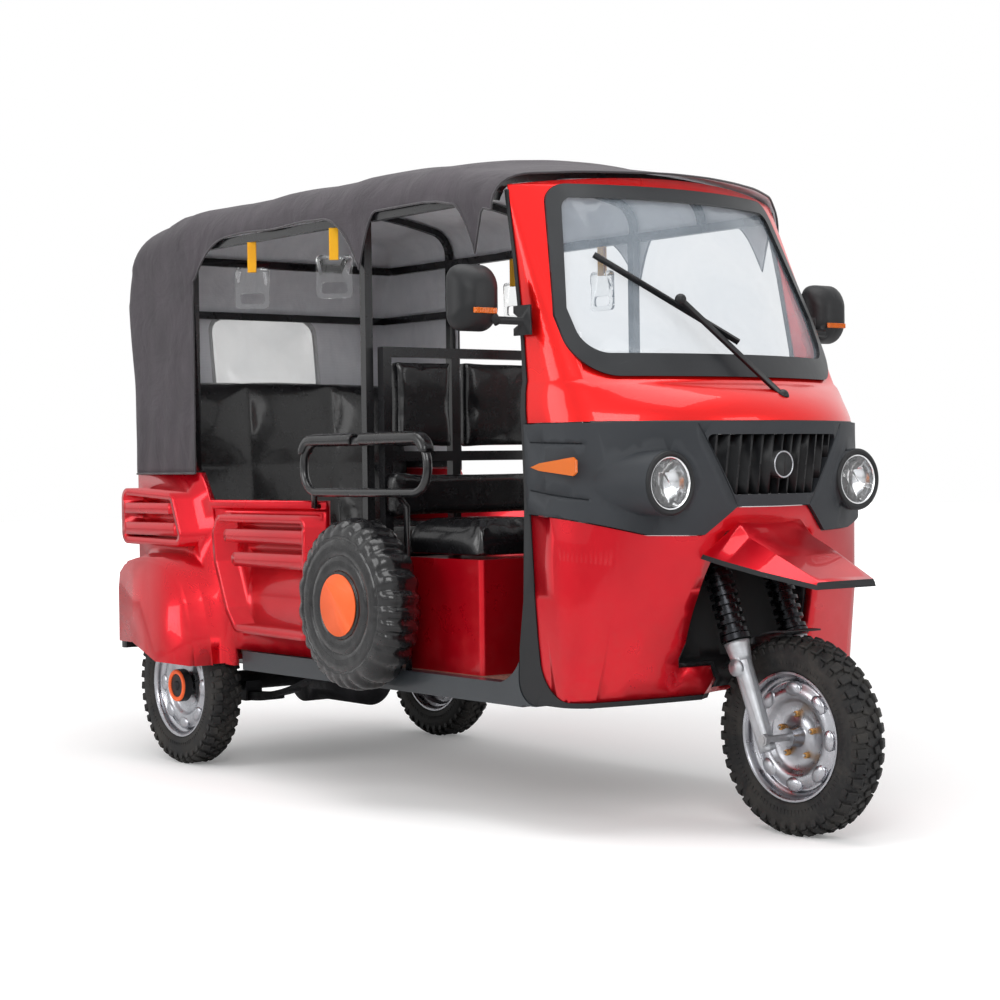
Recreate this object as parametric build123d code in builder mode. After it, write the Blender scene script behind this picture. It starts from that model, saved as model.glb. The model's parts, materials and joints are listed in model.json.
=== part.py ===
from build123d import *
from functools import cache
from math import atan2, cos, degrees, radians, sin, tan
import os

os.makedirs("parts", exist_ok=True)

# Driving dimensions in mm. Lengths along the vehicle count ahead of the rear axle,
# Y is to the left, and heights are above the ground.

# Wheels
wheelbase = 2215
track = 1000
tyre_r, tyre_w = 250, 98
bead_r = 158
rim_lip_r = 164
rim_lip_out = 42
tyre_gap = 12

# Body
half_w = 515
skin = 20
panel_gap = 3
sill_z, sill_h, sill_w = 323, 58, 40
floor_t = 16
bumper_back, bumper_z = 430, 362

# Rear body
rear_x0 = -300
quarter_front = 109
quarter_top = 935
panel_front, panel_top = 825, 845
panel_set_in = 12
fender_out = 60

# Steering
rake = 21.2
axle_lead = 25
leg_y = 105
turn = 38
well_s = 525
head_s0, head_s1 = 560, 690

# Frame of the canopy
rail_z = 1650
post_x = 1035
tube = 25
cloth = 8

# The origin is on the ground, below the middle of the whole length.
rear_x = -(wheelbase + tyre_r - bumper_back) / 2
floor_z = sill_z + sill_h
base = Plane((rear_x, 0, 0))


def side(y):
    """Upright plane along the vehicle: length ahead of the rear axle, height."""
    return Plane((rear_x, y, 0), x_dir=(1, 0, 0), z_dir=(0, -1, 0))


def cross(x):
    """Upright plane across the vehicle: Y, height."""
    return Plane((rear_x + x, 0, 0), x_dir=(0, 1, 0), z_dir=(1, 0, 0))


def deck(z):
    """Level plane: length ahead of the rear axle, Y."""
    return Plane((rear_x, 0, z))


def block(x, y, z, mode=Mode.ADD):
    """A box in the builder at work, from its (low, high) pairs."""
    middle = [(low + high) / 2 for low, high in (x, y, z)]
    with Locations(base.location * Location(middle)):
        Box(x[1] - x[0], y[1] - y[0], z[1] - z[0], mode=mode)


def bar(start, end, width, depth=None, mode=Mode.ADD):
    """A straight bar between two points, square, or round where depth is 0."""
    start = base.from_local_coords(Vector(*start))
    end = base.from_local_coords(Vector(*end))
    run = end - start
    across = (0, 1, 0) if abs(run.normalized().Y) < 0.9 else (1, 0, 0)
    with BuildSketch(Plane(start, x_dir=across, z_dir=run)) as section:
        if depth == 0:
            Circle(width / 2)
        else:
            Rectangle(width, depth or width)
    extrude(section.sketch, amount=run.length, mode=mode)


def sheet(plane, points, amount, mode=Mode.ADD):
    """A plate with a straight-sided outline on a plane."""
    with BuildSketch(plane) as section:
        with BuildLine():
            Polyline(*points, close=True)
        make_face()
    extrude(section.sketch, amount=amount, mode=mode)


pieces = {}

# Cab outline: height, end of the straight side, nose, corner radius, half width
cab_rows = (
    (327, 1880, 1998, 70, 508),
    (600, 1870, 2080, 140, half_w),
    (820, 1850, 2130, 190, half_w),
    (1045, 1840, 2165, 190, half_w),
    (1060, 1836, 2163, 190, half_w),
    (1080, 1828, 2152, 188, 514),
    (1103, 1822, 2132, 178, 511),
    (1125, 1821, 2101, 160, 508),
    (1143, 1825, 2068, 134, 504),
    (1155, 1830, 2036, 100, 500),
    (1666, 1648, 1797, 10, 480),
    (1740, 1612, 1762, 10, 470),
)
cab_back = 1560
roof_mid, roof_edge = 1698, 1660
belt_z = 1045
cab_bottom = cab_rows[0][0]


@cache
def cab_form(grow=0):
    """The cab's outer form, grown or shrunk by an even distance."""
    with BuildPart() as form:
        for z, side_end, nose, corner, half in cab_rows:
            h, n, c = half + grow, nose + grow, max(corner + grow, 2)
            reach = n - side_end
            front_r = (reach**2 + (h - c) ** 2 - c**2) / (2 * (reach - c))
            centre = n - front_r
            angle = degrees(atan2(h - c, side_end - centre))
            with BuildSketch(deck(z)):
                with BuildLine():
                    Line((cab_back, -h), (side_end, -h))
                    CenterArc((side_end, c - h), c, -90, 90 - angle)
                    CenterArc((centre, 0), front_r, -angle, 2 * angle)
                    CenterArc((side_end, h - c), c, angle, 90 - angle)
                    Line((side_end, h), (cab_back, h))
                    Line((cab_back, h), (cab_back, -h))
                make_face()
        loft(ruled=True)
        with BuildSketch(cross(cab_back)):
            with BuildLine():
                edge = half_w + 30
                ThreePointArc((-edge, roof_edge + grow), (0, roof_mid + grow), (edge, roof_edge + grow))
                Polyline((edge, roof_edge + grow), (edge, 0), (-edge, 0), (-edge, roof_edge + grow))
            make_face()
        extrude(amount=800, mode=Mode.INTERSECT)
    return form.part


# Canopy outline: place, shoulder, crown
canopy_rows = (
    (-360, 1702, 1746),
    (-60, 1766, 1818),
    (1150, 1766, 1818),
    (1400, 1748, 1795),
    (1640, 1703, 1742),
    (1820, 1672, 1706),
)
canopy_half = half_w + 1 + cloth
shoulder_in, shoulder_rise = 80, 100
canopy_hem = 928
canopy_back = ((-310, 0), (-310, 928), (-316, 1223), (-353, 1494), (-338, 1570), (-300, 1650), (-250, 1722), (-190, 1800), (-80, 1900))


@cache
def canopy_form(grow=0):
    """The canopy's outer form, shrunk evenly where grow is negative."""
    with BuildPart() as form:
        for x, shoulder, crown in canopy_rows:
            w, k, side_top = canopy_half + grow, canopy_half - shoulder_in, shoulder - shoulder_rise
            with BuildSketch(cross(x)):
                with BuildLine():
                    TangentArc((-w, side_top), (-k, shoulder + grow), tangent=(0, 1))
                    ThreePointArc((-k, shoulder + grow), (0, crown + grow), (k, shoulder + grow))
                    TangentArc((w, side_top), (k, shoulder + grow), tangent=(0, 1))
                    Polyline((w, side_top), (w, 600), (-w, 600), (-w, side_top))
                make_face()
        loft(ruled=True)
        with BuildSketch(side(-600)):
            with BuildLine():
                Polyline(*[(x - grow, z) for x, z in canopy_back], (1900, 1900), (1900, 0), close=True)
            make_face()
        extrude(amount=-1200, mode=Mode.INTERSECT)
    return form.part


cab_outer, cab_inner = cab_form(), cab_form(-skin)
canopy_outer, canopy_inner = canopy_form(), canopy_form(-cloth)

# Steering axis: it leans back, and the axle lies a little ahead of it.
lean = radians(rake)
ahead, up_axis = Vector(cos(lean), 0, sin(lean)), Vector(-sin(lean), 0, cos(lean))
foot = Vector(rear_x + wheelbase, 0, tyre_r) - ahead * axle_lead


def fork_side(y):
    """Plane through the steering axis: distance ahead of it, distance up along it."""
    return Plane(foot + Vector(0, y, 0), x_dir=ahead, z_dir=(0, -1, 0))


def fork_at(s):
    """Plane square to the steering axis: distance ahead of it, Y."""
    return Plane(foot + up_axis * s, x_dir=ahead, z_dir=up_axis)


def turned(profile, mode=Mode.ADD):
    """A body of revolution about the steering axis, from (radius, place) points."""
    with BuildSketch(fork_side(0)) as section:
        with BuildLine():
            Polyline(*profile, close=True)
        make_face()
    revolve(section.sketch, axis=Axis(foot, up_axis), mode=mode)


# Front wheel arch: how far it reaches from the steering axis, and how high along it; narrow below the shelf
well_high = ((246, 0), (246, 60), (249, 255), (227, 288), (193, 451), (183, well_s))
well_low = ((205, -300), (205, 150), (185, 175), (156, 203), (156, 300))
shelf_z, well_t = 422, 10


@cache
def well_form(grow=0):
    """The room round the front wheel, grown or shrunk by an even distance."""
    with BuildPart() as form:
        top = well_high[-1][1] + grow
        turned(((0, 0), *[(r + grow, min(s, top)) for r, s in well_high[:-1]], (well_high[-1][0] + grow, top), (0, top)))
        block((0, 4000), (-400, 400), (0, shelf_z - grow), Mode.SUBTRACT)
        with BuildPart(mode=Mode.PRIVATE) as narrow:
            turned(((0, -300), *[(r + grow, s) for r, s in well_low], (0, 300)))
            block((0, 4000), (-400, 400), (shelf_z - grow, 2000), Mode.SUBTRACT)
        add(narrow.part)
    return form.part


# Wheels: name, place ahead of the rear axle, Y, outer side
wheels = (
    ("front", wheelbase, 0, -1, "front_wheel"),
    ("rear_right", 0, -track / 2, -1, "rear_wheel_right"),
    ("rear_left", 0, track / 2, 1, "rear_wheel_left"),
)
front_axle_r, stub_r, running = 9, 15, 0.05
seat_u, lip_u = 34, rim_lip_out
drum_r, drum_in, drum_out = 92, -52, -14

for name, x, y, out, body in wheels:
    spin = Axis((rear_x + x, 0, tyre_r), (0, 1, 0))

    def at(u, r):
        """A point of the wheel's half section: outward along the axle, radius."""
        return (y + out * u, tyre_r + r)

    with BuildPart() as tyre:
        with BuildSketch(cross(x)):
            with BuildLine():
                Polyline(at(seat_u, bead_r), at(seat_u + 2, rim_lip_r + 0.3), at(lip_u + 2, rim_lip_r + 4))
                ThreePointArc(at(lip_u + 2, rim_lip_r + 4), at(tyre_w / 2, bead_r + 45), at(tyre_w / 2 - 6, tyre_r - 14))
                Line(at(tyre_w / 2 - 6, tyre_r - 14), at(tyre_w / 2 - 13, tyre_r - 3))
                ThreePointArc(at(tyre_w / 2 - 13, tyre_r - 3), at(0, tyre_r), at(13 - tyre_w / 2, tyre_r - 3))
                Line(at(13 - tyre_w / 2, tyre_r - 3), at(6 - tyre_w / 2, tyre_r - 14))
                ThreePointArc(at(6 - tyre_w / 2, tyre_r - 14), at(-tyre_w / 2, bead_r + 45), at(-lip_u - 2, rim_lip_r + 4))
                Polyline(at(-lip_u - 2, rim_lip_r + 4), at(-seat_u - 2, rim_lip_r + 0.3), at(-seat_u, bead_r))
                Line(at(-seat_u, bead_r), at(seat_u, bead_r))
            make_face()
        revolve(axis=spin)
    pieces[name + "_tyre"] = tyre

    hub_bore = (front_axle_r if name == "front" else stub_r) + running
    hub_r = hub_bore + 14
    with BuildPart() as rim:
        with BuildSketch(cross(x)):
            with BuildLine():
                barrel = ((lip_u, rim_lip_r), (seat_u + 2, rim_lip_r), (seat_u, bead_r), (18, bead_r), (12, 145))
                under = ((15, 140), (21, bead_r - 6), (seat_u + 2, bead_r - 5), (lip_u, rim_lip_r - 5))
                right = [at(u, r) for u, r in barrel + tuple((-u, r) for u, r in reversed(barrel))]
                inner = [at(u, r) for u, r in tuple((-u, r) for u, r in reversed(under)) + under]
                Polyline(*right, *inner, close=True)
            make_face()
            with BuildLine():
                dish = ((12, 142), (26, 118), (26, 100), (8, 84), (8, hub_r + 6), (30, hub_r), (46, hub_r))
                back = ((46, hub_bore), (-46, hub_bore), (-46, hub_r), (2, hub_r), (2, 86), (20, 102), (20, 116), (6, 142))
                Polyline(*[at(u, r) for u, r in dish + back], close=True)
            make_face()
            with BuildLine():
                drum = ((2, drum_r), (drum_in, drum_r), (drum_in, drum_r - 8), (drum_out, drum_r - 8))
                web = ((drum_out, hub_r - 2), (2, hub_r - 2))
                Polyline(*[at(u, r) for u, r in drum + web], close=True)
            make_face()
        revolve(axis=spin)
    pieces[name + "_rim"] = rim

# Chassis: two rails, cross members, outriggers and the frame that carries the head tube
rail_y, rail_w, rail_h = 290, 50, 60
rail_top = floor_z - floor_t
rail_front = 1745
member_x = (-370, -230, 330, 700, 1100, 1480, rail_front)
outrigger_x = (430, post_x, 1560)
with BuildPart() as chassis_frame:
    for s in (-1, 1):
        bar((-bumper_back + 34, s * rail_y, rail_top - rail_h / 2), (rail_front + 20, s * rail_y, rail_top - rail_h / 2), rail_w, rail_h)
        for x in outrigger_x:
            bar((x, s * rail_y, rail_top - 20), (x, s * (half_w - sill_w), rail_top - 20), 40)
        bar((rail_front, s * 45, rail_top - 30), (rail_front, s * 45, 760), 40)
    for x in member_x:
        bar((x, -rail_y, rail_top - 25), (x, rail_y, rail_top - 25), 40)
    bar((rail_front, -65, 742), (rail_front, 65, 742), 40)
    bar((rail_front, 0, 742), (1960, 0, 830), 44)
    turned(((0, head_s0), (34, head_s0), (34, head_s1), (0, head_s1)))
    turned(((0, head_s0 - 60), (20, head_s0 - 60), (20, head_s1 + 60), (0, head_s1 + 60)), mode=Mode.SUBTRACT)
pieces["chassis_frame"] = chassis_frame

# Floor under the passengers and the driver, with room for the rear wheels
with BuildPart() as floor_pan:
    block((rear_x0 + skin, 1900), (-half_w + sill_w, half_w - sill_w), (rail_top, floor_z))
    with BuildPart(mode=Mode.PRIVATE) as ahead_of_cab:
        add(cab_form(-skin - panel_gap))
        block((rear_x0, cab_back + 100), (-half_w + skin, half_w - skin), (rail_top, floor_z))
    add(ahead_of_cab.part, mode=Mode.INTERSECT)
    for s in (-1, 1):
        block((-400, 275), sorted((s * 429, s * half_w)), (0, 600), Mode.SUBTRACT)
    add(well_form(3), mode=Mode.SUBTRACT)
    add(chassis_frame.part, mode=Mode.SUBTRACT)
pieces["floor_pan"] = floor_pan

# Rear edge of the cab's painted panels, and the edge of the wider rubber band behind it
cab_edge = ((1652, 1760), (1652, 1672), (1699, 1464), (1736, 1261), (1766, 1044), (1776, 815), (1788, 640),
            (1798, 499), (1805, 436))
edge_foot = ((1840, 376), (1906, 347))
band_edge = ((1644, 1760), (1644, 1672), (1691, 1464), (1728, 1261), (1750, 1044), (1758, 853), (1750, 600),
             (1728, 475), (1724, 400))
band_foot = ((1738, 354), (1810, 334))
front = 2400


def behind_edge(shift=0, edge=cab_edge, foot=edge_foot, mode=Mode.SUBTRACT):
    """All that lies behind and below one of the cab's edges, moved ahead by a distance."""
    edge = [(x + shift, z) for x, z in edge]
    middle, low = [(x + shift, z) for x, z in foot]
    with BuildSketch(side(-700)) as section:
        with BuildLine():
            Polyline((300, 1760), *edge)
            ThreePointArc(edge[-1], middle, low)
            Polyline(low, (front, low[1]), (front, 200), (300, 200), (300, 1760))
        make_face()
    extrude(section.sketch, amount=-1400, mode=mode)


# Sills along both sides, with the curved brackets that run up to the cab
sill_back, sill_front = 353, 1735
with BuildPart() as side_sills:
    for s in (-1, 1):
        y = sorted((s * half_w, s * (half_w - sill_w)))
        block((sill_back, sill_front), y, (sill_z, floor_z))
        with BuildSketch(side(y[1])):
            with BuildLine():
                Line((1600, sill_z + 5), (1600, floor_z - 5))
                ThreePointArc((1600, floor_z - 5), (1690, floor_z + 22), (1742, floor_z + 105))
                Polyline((1742, floor_z + 105), (1790, floor_z + 40), (1790, sill_z + 5), (1600, sill_z + 5))
            make_face()
        extrude(amount=sill_w)
    behind_edge(-panel_gap, band_edge, band_foot, Mode.INTERSECT)
pieces["side_sills"] = side_sills

# Rear body: the side wall, the proud quarter, pressed ribs, the flared fender and the wheel box
arch_r, fender_taper = 238, 32
liner_r, liner_t, liner_in, liner_z = tyre_r + tyre_gap, 6, 430, 345
rib_w, rib_out, rib_taper = 22, 6, 40
panel_recess = ((303, 790), (278, 745), (290, 655), (352, 512), (400, 456), (795, 450), (795, 790))
panel_bars = ((338, 795, 738, 40), (383, 795, 667, 42))
quarter_face = ((-285, 712), (100, 706), (36, 856), (-285, 872))
quarter_bars = ((-285, 30, 817, 34), (-285, 66, 751, 40))
quarter_edge = ((quarter_front, quarter_top - 5), (140, 882), (176, 828), (198, 750), (232, 657), (271, 534), (301, 324))
flare = ((-262, 290), (-262, 560), (-250, 622), (-205, 658), (-130, 672), (-40, 674), (50, 660), (120, 630), (172, 585),
         (205, 525), (232, 430), (255, 290))
flare_steps = ((52, 14), (14, 38), (9, 62))
wall_y = -(half_w - skin)
with BuildPart() as rear_body_right:
    sheet(side(wall_y), ((rear_x0, 290), (rear_x0, quarter_top), *quarter_edge), skin)
    block((150, panel_front), (-half_w + panel_set_in, wall_y), (floor_z + 2, panel_top))
    with BuildSketch(cross(150)):
        with Locations((-half_w + skin / 2, panel_top - 14)):
            RectangleRounded(skin, 28, 8)
    extrude(amount=panel_front - 150)
    for y, frame, bars in ((half_w - panel_set_in, panel_recess, panel_bars), (half_w, quarter_face, quarter_bars)):
        with BuildSketch(side(-y)) as bead:
            with BuildLine():
                FilletPolyline(*frame, radius=26, close=True)
            make_face()
            offset(amount=rib_w / 2)
            offset(amount=-rib_w, mode=Mode.SUBTRACT)
        extrude(bead.sketch, amount=rib_out, taper=rib_taper)
        for x0, x1, z, high in bars:
            with BuildSketch(side(-y)) as swell:
                with Locations(((x0 + x1) / 2, z)):
                    SlotOverall(x1 - x0, high)
            extrude(swell.sketch, amount=rib_out, taper=rib_taper)
    reach, inset = half_w - skin, 0
    for step, taper in flare_steps:
        with BuildSketch(side(-reach)) as flared:
            with BuildLine():
                Polyline(*flare, close=True)
            make_face()
            if inset:
                offset(amount=-inset, kind=Kind.INTERSECTION)
        extrude(flared.sketch, amount=step, taper=taper)
        reach, inset = reach + step, inset + step * tan(radians(taper))
    with BuildSketch(side(-liner_in)):
        with Locations((0, tyre_r)):
            Circle(liner_r + liner_t)
        with Locations((0, liner_z - 400)):
            Rectangle(900, 800, mode=Mode.SUBTRACT)
    extrude(amount=half_w - skin - liner_in)
    with BuildSketch(Plane((rear_x, -half_w - fender_out + 16, tyre_r), x_dir=(1, 0, 0), z_dir=(0, 1, 0))):
        Circle(liner_r)
    extrude(amount=half_w + fender_out - 16 - liner_in - liner_t, mode=Mode.SUBTRACT)
    with BuildSketch(side(-half_w + 30)):
        with Locations((-8, tyre_r)):
            Circle(arch_r)
    extrude(amount=120, mode=Mode.SUBTRACT)
    hem = ((-400, 385), (-150, 385), (0, 332), (500, 332), (500, 100), (-400, 100))
    sheet(side(-400), hem, 300, Mode.SUBTRACT)
pieces["rear_body_right"] = rear_body_right

with BuildPart() as rear_body_left:
    mirror(rear_body_right.part, about=Plane.XZ)
pieces["rear_body_left"] = rear_body_left

# Tail: pressed panel, two lamps, and the bumper bar with the holes for a plate
tail_t, lamp_y, lamp_z = 16, 395, 700
tail_ribs = (760, 810, 860)
with BuildPart() as tail_panel:
    block((rear_x0, rear_x0 + tail_t), (-half_w + skin, half_w - skin), (400, quarter_top))
    with BuildSketch(cross(rear_x0 - rib_out)):
        for z in tail_ribs:
            with Locations((0, z)):
                SlotOverall(560, rib_w)
        with Locations((0, 590)):
            RectangleRounded(400, 180, 20)
    extrude(amount=rib_out)
    with BuildSketch(cross(rear_x0 - rib_out)):
        with Locations((0, 590)):
            RectangleRounded(400 - 2 * rib_w, 180 - 2 * rib_w, 12)
    extrude(amount=rib_out, mode=Mode.SUBTRACT)
pieces["tail_panel"] = tail_panel

with BuildPart() as tail_lamps:
    with BuildSketch(cross(rear_x0)):
        with Locations((-lamp_y, lamp_z), (lamp_y, lamp_z)):
            RectangleRounded(110, 190, 18)
    extrude(amount=-26)
    fillet(tail_lamps.faces().group_by(Axis.X)[0].edges(), 8)
pieces["tail_lamps"] = tail_lamps

bumper_h, bumper_t, bumper_half = 35, 30, 520
plate_hole_r, plate_hole_gap = 4, 200
with BuildPart() as rear_bumper:
    band = (bumper_z - bumper_h / 2, bumper_z + bumper_h / 2)
    block((-bumper_back, -bumper_back + bumper_t), (-bumper_half, bumper_half), band)
    fillet(rear_bumper.edges().filter_by(Axis.Z), 8)
    with BuildSketch(cross(-bumper_back)):
        with Locations((-plate_hole_gap / 2, bumper_z), (plate_hole_gap / 2, bumper_z)):
            Circle(plate_hole_r)
    extrude(amount=bumper_t, mode=Mode.SUBTRACT)
    for s in (-1, 1):
        block((-bumper_back + bumper_t, -bumper_back + 34), (s * rail_y - 30, s * rail_y + 30), band)
pieces["rear_bumper"] = rear_bumper

# Cab: red upper with the windscreen opening, dark fascia band, red lower with the wheel arch
edge_out = 4
drop = 0.07
fascia_low = ((-half_w - 85, 818), (-half_w, 818), (-357, 784), (-215, 784), (-129, 856),
              (129, 856), (215, 784), (357, 784), (half_w, 818), (half_w + 85, 818))
screen_out = ((462, 1163), (471, 1320), (398, 1672))
screen_in = ((430, 1222), (440, 1338), (368, 1636))
glass_t = 5


def screen_outline(share, mode=Mode.ADD):
    """The windscreen's outline run through the cab's front, from the gasket's outer edge (0) to its inner edge (1)."""
    half = [(y + share * (v - y), z + share * (w - z)) for (y, z), (v, w) in zip(screen_out, screen_in)]
    with BuildSketch(cross(cab_back)) as section:
        with BuildLine():
            Polyline(*[(-y, z) for y, z in half], *reversed(half), close=True)
        make_face()
        fillet(section.vertices().group_by(Axis.Y)[0], 105 - 40 * share)
        fillet(section.vertices().group_by(Axis.Y)[-1], 66 - 24 * share)
    extrude(section.sketch, amount=front - cab_back, mode=mode)


def below_fascia(gap, mode=Mode.INTERSECT):
    """All below the fascia's lower edge, which drops a little towards the front."""
    back = 300
    points = [(y, z - gap + drop * back) for y, z in fascia_low]
    with BuildSketch(cross(1776 - back)) as section:
        with BuildLine():
            Polyline(*points, (half_w + 85, 100), (-half_w - 85, 100), close=True)
        make_face()
    extrude(section.sketch, amount=1000, dir=(1, 0, -drop), mode=mode)


with BuildPart() as cab_upper:
    block((1600, front), (-700, 700), (belt_z + panel_gap, 1800))
    add(cab_outer, mode=Mode.INTERSECT)
    add(cab_inner, mode=Mode.SUBTRACT)
    behind_edge()
    screen_outline(0.45, Mode.SUBTRACT)
pieces["cab_upper"] = cab_upper

with BuildPart() as windscreen_gasket:
    screen_outline(0)
    add(cab_form(6), mode=Mode.INTERSECT)
    add(cab_form(-skin + 6), mode=Mode.SUBTRACT)
    screen_outline(1, Mode.SUBTRACT)
    behind_edge(25)
    add(cab_upper.part, mode=Mode.SUBTRACT)
pieces["windscreen_gasket"] = windscreen_gasket

with BuildPart() as windscreen:
    screen_outline(1)
    add(cab_form(-4), mode=Mode.INTERSECT)
    add(cab_form(-4 - glass_t), mode=Mode.SUBTRACT)
pieces["windscreen"] = windscreen

# Wheel arch: a liner round the front wheel's room, open to the front and below
with BuildPart() as wheel_well:
    add(well_form())
    add(well_form(-well_t), mode=Mode.SUBTRACT)
    turned(((0, well_s - 40), (48, well_s - 40), (48, well_s + 40), (0, well_s + 40)), Mode.SUBTRACT)
    add(cab_form(-skin), mode=Mode.INTERSECT)
    block((1000, front), (-700, 700), (-300, 362), Mode.SUBTRACT)
pieces["wheel_well"] = wheel_well

with BuildPart() as cab_lower:
    block((1600, front), (-700, 700), (cab_bottom, 900))
    add(cab_outer, mode=Mode.INTERSECT)
    with BuildPart(mode=Mode.PRIVATE) as room:
        block((1500, front), (-700, 700), (362, 950))
        add(cab_inner, mode=Mode.INTERSECT)
    add(room.part, mode=Mode.SUBTRACT)
    below_fascia(panel_gap)
    behind_edge()
    add(well_form(), mode=Mode.SUBTRACT)
pieces["cab_lower"] = cab_lower

# Fascia: a dark band with lamp pods, side flashes and the grille opening
grille_high, grille_low = (236, 1013), (142, 861)
lamp_x, lamp_half, lamp_h = 2108, 337, 893
pod_r, bore_r = 82, 65.7
pod_back, pod_back_y, pod_back_half, pod_back_h = 1878, 412, 107, 84
seam_high, seam_low, seam_w = (252, 1040), (128, 832), 3
groove_ends = (((1790, 1001), (1955, 995)), ((1790, 880), (1970, 856)))
indicator = ((1800, 936), (1835, 927), (1965, 914), (1978, 922), (1978, 952), (1965, 960), (1835, 946))


def grille_outline(grow, mode=Mode.ADD):
    """The grille's trapezoid, run through the fascia."""
    (y1, z1), (y0, z0) = grille_high, grille_low
    with BuildSketch(cross(2000)) as section:
        with BuildLine():
            FilletPolyline((-y0 - grow, z0 - grow), (-y1 - grow, z1 + grow), (y1 + grow, z1 + grow),
                           (y0 + grow, z0 - grow), radius=12, close=True)
        make_face()
    extrude(section.sketch, amount=300, mode=mode)


with BuildPart() as nose_fascia:
    block((1600, front), (-700, 700), (700, belt_z))
    below_fascia(0, Mode.SUBTRACT)
    behind_edge()
    add(cab_form(10), mode=Mode.INTERSECT)
    add(cab_form(-skin + 8), mode=Mode.SUBTRACT)
    with BuildPart(mode=Mode.PRIVATE) as grooves:
        for s in (-1, 1):
            (y1, z1), (y0, z0) = seam_high, seam_low
            sheet(cross(2000), ((s * y1, z1), (s * (y1 + seam_w), z1), (s * (y0 + seam_w), z0), (s * y0, z0)), 300)
        for (x0, z0), (x1, z1) in groove_ends:
            sheet(side(-700), ((x0, z0), (x1, z1), (x1, z1 - 4), (x0, z0 - 4)), -1400)
        add(cab_form(6), mode=Mode.SUBTRACT)
    add(grooves.part, mode=Mode.SUBTRACT)
    for s in (-1, 1):
        with BuildPart(mode=Mode.PRIVATE) as pod:
            with BuildSketch(cross(lamp_x)):
                with Locations((s * lamp_half, lamp_h)):
                    Circle(pod_r)
            with BuildSketch(cross(pod_back)):
                with Locations((s * pod_back_y, lamp_h)):
                    Ellipse(pod_back_half, pod_back_h)
            loft()
            add(cab_form(-skin + 8), mode=Mode.SUBTRACT)
        add(pod.part)
    with BuildSketch(cross(1900)):
        with Locations((-lamp_half, lamp_h), (lamp_half, lamp_h)):
            Circle(bore_r)
    extrude(amount=300, mode=Mode.SUBTRACT)
    grille_outline(0, Mode.SUBTRACT)
pieces["nose_fascia"] = nose_fascia

bars, bar_w, bar_depth, badge_r, badge_z = 13, 6, 30, 36, 936
with BuildPart() as grille:
    grille_outline(0)
    add(cab_form(6), mode=Mode.INTERSECT)
    add(cab_form(2 - bar_depth), mode=Mode.SUBTRACT)
    with BuildPart(mode=Mode.PRIVATE) as gaps:
        gap = 2 * grille_high[0] / (bars + 1)
        for k in range(-bars // 2, bars // 2 + 2):
            middle = (k - 0.5 * (bars % 2 == 0)) * gap - (0 if bars % 2 == 0 else gap / 2)
            block((2000, 2300), (middle - (gap - bar_w) / 2, middle + (gap - bar_w) / 2), (840, 1040))
        add(cab_form(6 - bar_depth), mode=Mode.SUBTRACT)
    add(gaps.part, mode=Mode.SUBTRACT)
    with BuildSketch(cross(2125)):
        with Locations((0, badge_z)):
            Circle(badge_r)
    extrude(amount=42)
pieces["grille"] = grille

bowl_r = 62
with BuildPart() as headlamps:
    with BuildSketch(cross(lamp_x - 72)):
        with Locations((-lamp_half, lamp_h), (lamp_half, lamp_h)):
            Circle(bore_r - 0.2)
    extrude(amount=74)
    for s in (-1, 1):
        with Locations(base.location * Location((lamp_x + 6, s * lamp_half, lamp_h))):
            Sphere(bowl_r, mode=Mode.SUBTRACT)
pieces["headlamps"] = headlamps
with BuildPart() as side_indicators:
    for s in (-1, 1):
        face = half_w + 10
        sheet(side(s * face + 0.01), indicator, -s * 6)
pieces["side_indicators"] = side_indicators

with BuildPart() as cab_edge_trim:
    block((1600, front), (-700, 700), (cab_bottom, 1655))
    behind_edge(0, band_edge, band_foot)
    behind_edge(edge_out, mode=Mode.INTERSECT)
    add(cab_form(edge_out), mode=Mode.INTERSECT)
    add(cab_form(-skin - edge_out), mode=Mode.SUBTRACT)
    for piece in (cab_upper, nose_fascia, cab_lower, side_sills):
        add(piece.part, mode=Mode.SUBTRACT)
    add(well_form(), mode=Mode.SUBTRACT)
pieces["cab_edge_trim"] = cab_edge_trim

# Beak: a faceted guard over the front wheel, with a rubber lip under its rim
beak_back, beak_tip = 2040, 2376
beak_rows = (
    (beak_back, 222, 712, 122, 830),
    (2120, 200, 690, 110, 789),
    (2150, 191, 682, 110, 754),
    (2240, 166, 661, 108, 714),
    (beak_tip, 107, 629, 98, 648),
)
beak_t = 9


def beak_section(x, half, rim_z, ridge_half, ridge_z, shrink=0):
    """Closed outline of the beak across the vehicle, thinned from the sides and from above."""
    top = ((half, rim_z), (half - 4, rim_z + 12), (ridge_half, ridge_z))
    top = [(y - shrink, z - shrink) for y, z in top]
    return [(-y, z) for y, z in top] + top[::-1]


with BuildPart() as front_beak:
    for row in beak_rows:
        with BuildSketch(cross(row[0])):
            with BuildLine():
                Polyline(*beak_section(*row), close=True)
            make_face()
    loft(ruled=True)
    with BuildPart(mode=Mode.PRIVATE) as under:
        for row in beak_rows:
            with BuildSketch(cross(row[0] - (5 if row[0] == beak_back else 0))):
                with BuildLine():
                    Polyline(*beak_section(*row, shrink=beak_t), close=True)
                make_face()
        loft(ruled=True)
    with BuildPart(mode=Mode.PRIVATE) as hollow_room:
        add(under.part)
        with BuildSketch(cross(beak_back - 20)):
            Rectangle(2000, 4000)
        extrude(amount=beak_tip - beak_t - beak_back + 20, mode=Mode.INTERSECT)
    add(hollow_room.part, mode=Mode.SUBTRACT)
    add(cab_outer, mode=Mode.SUBTRACT)
pieces["front_beak"] = front_beak

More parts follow.
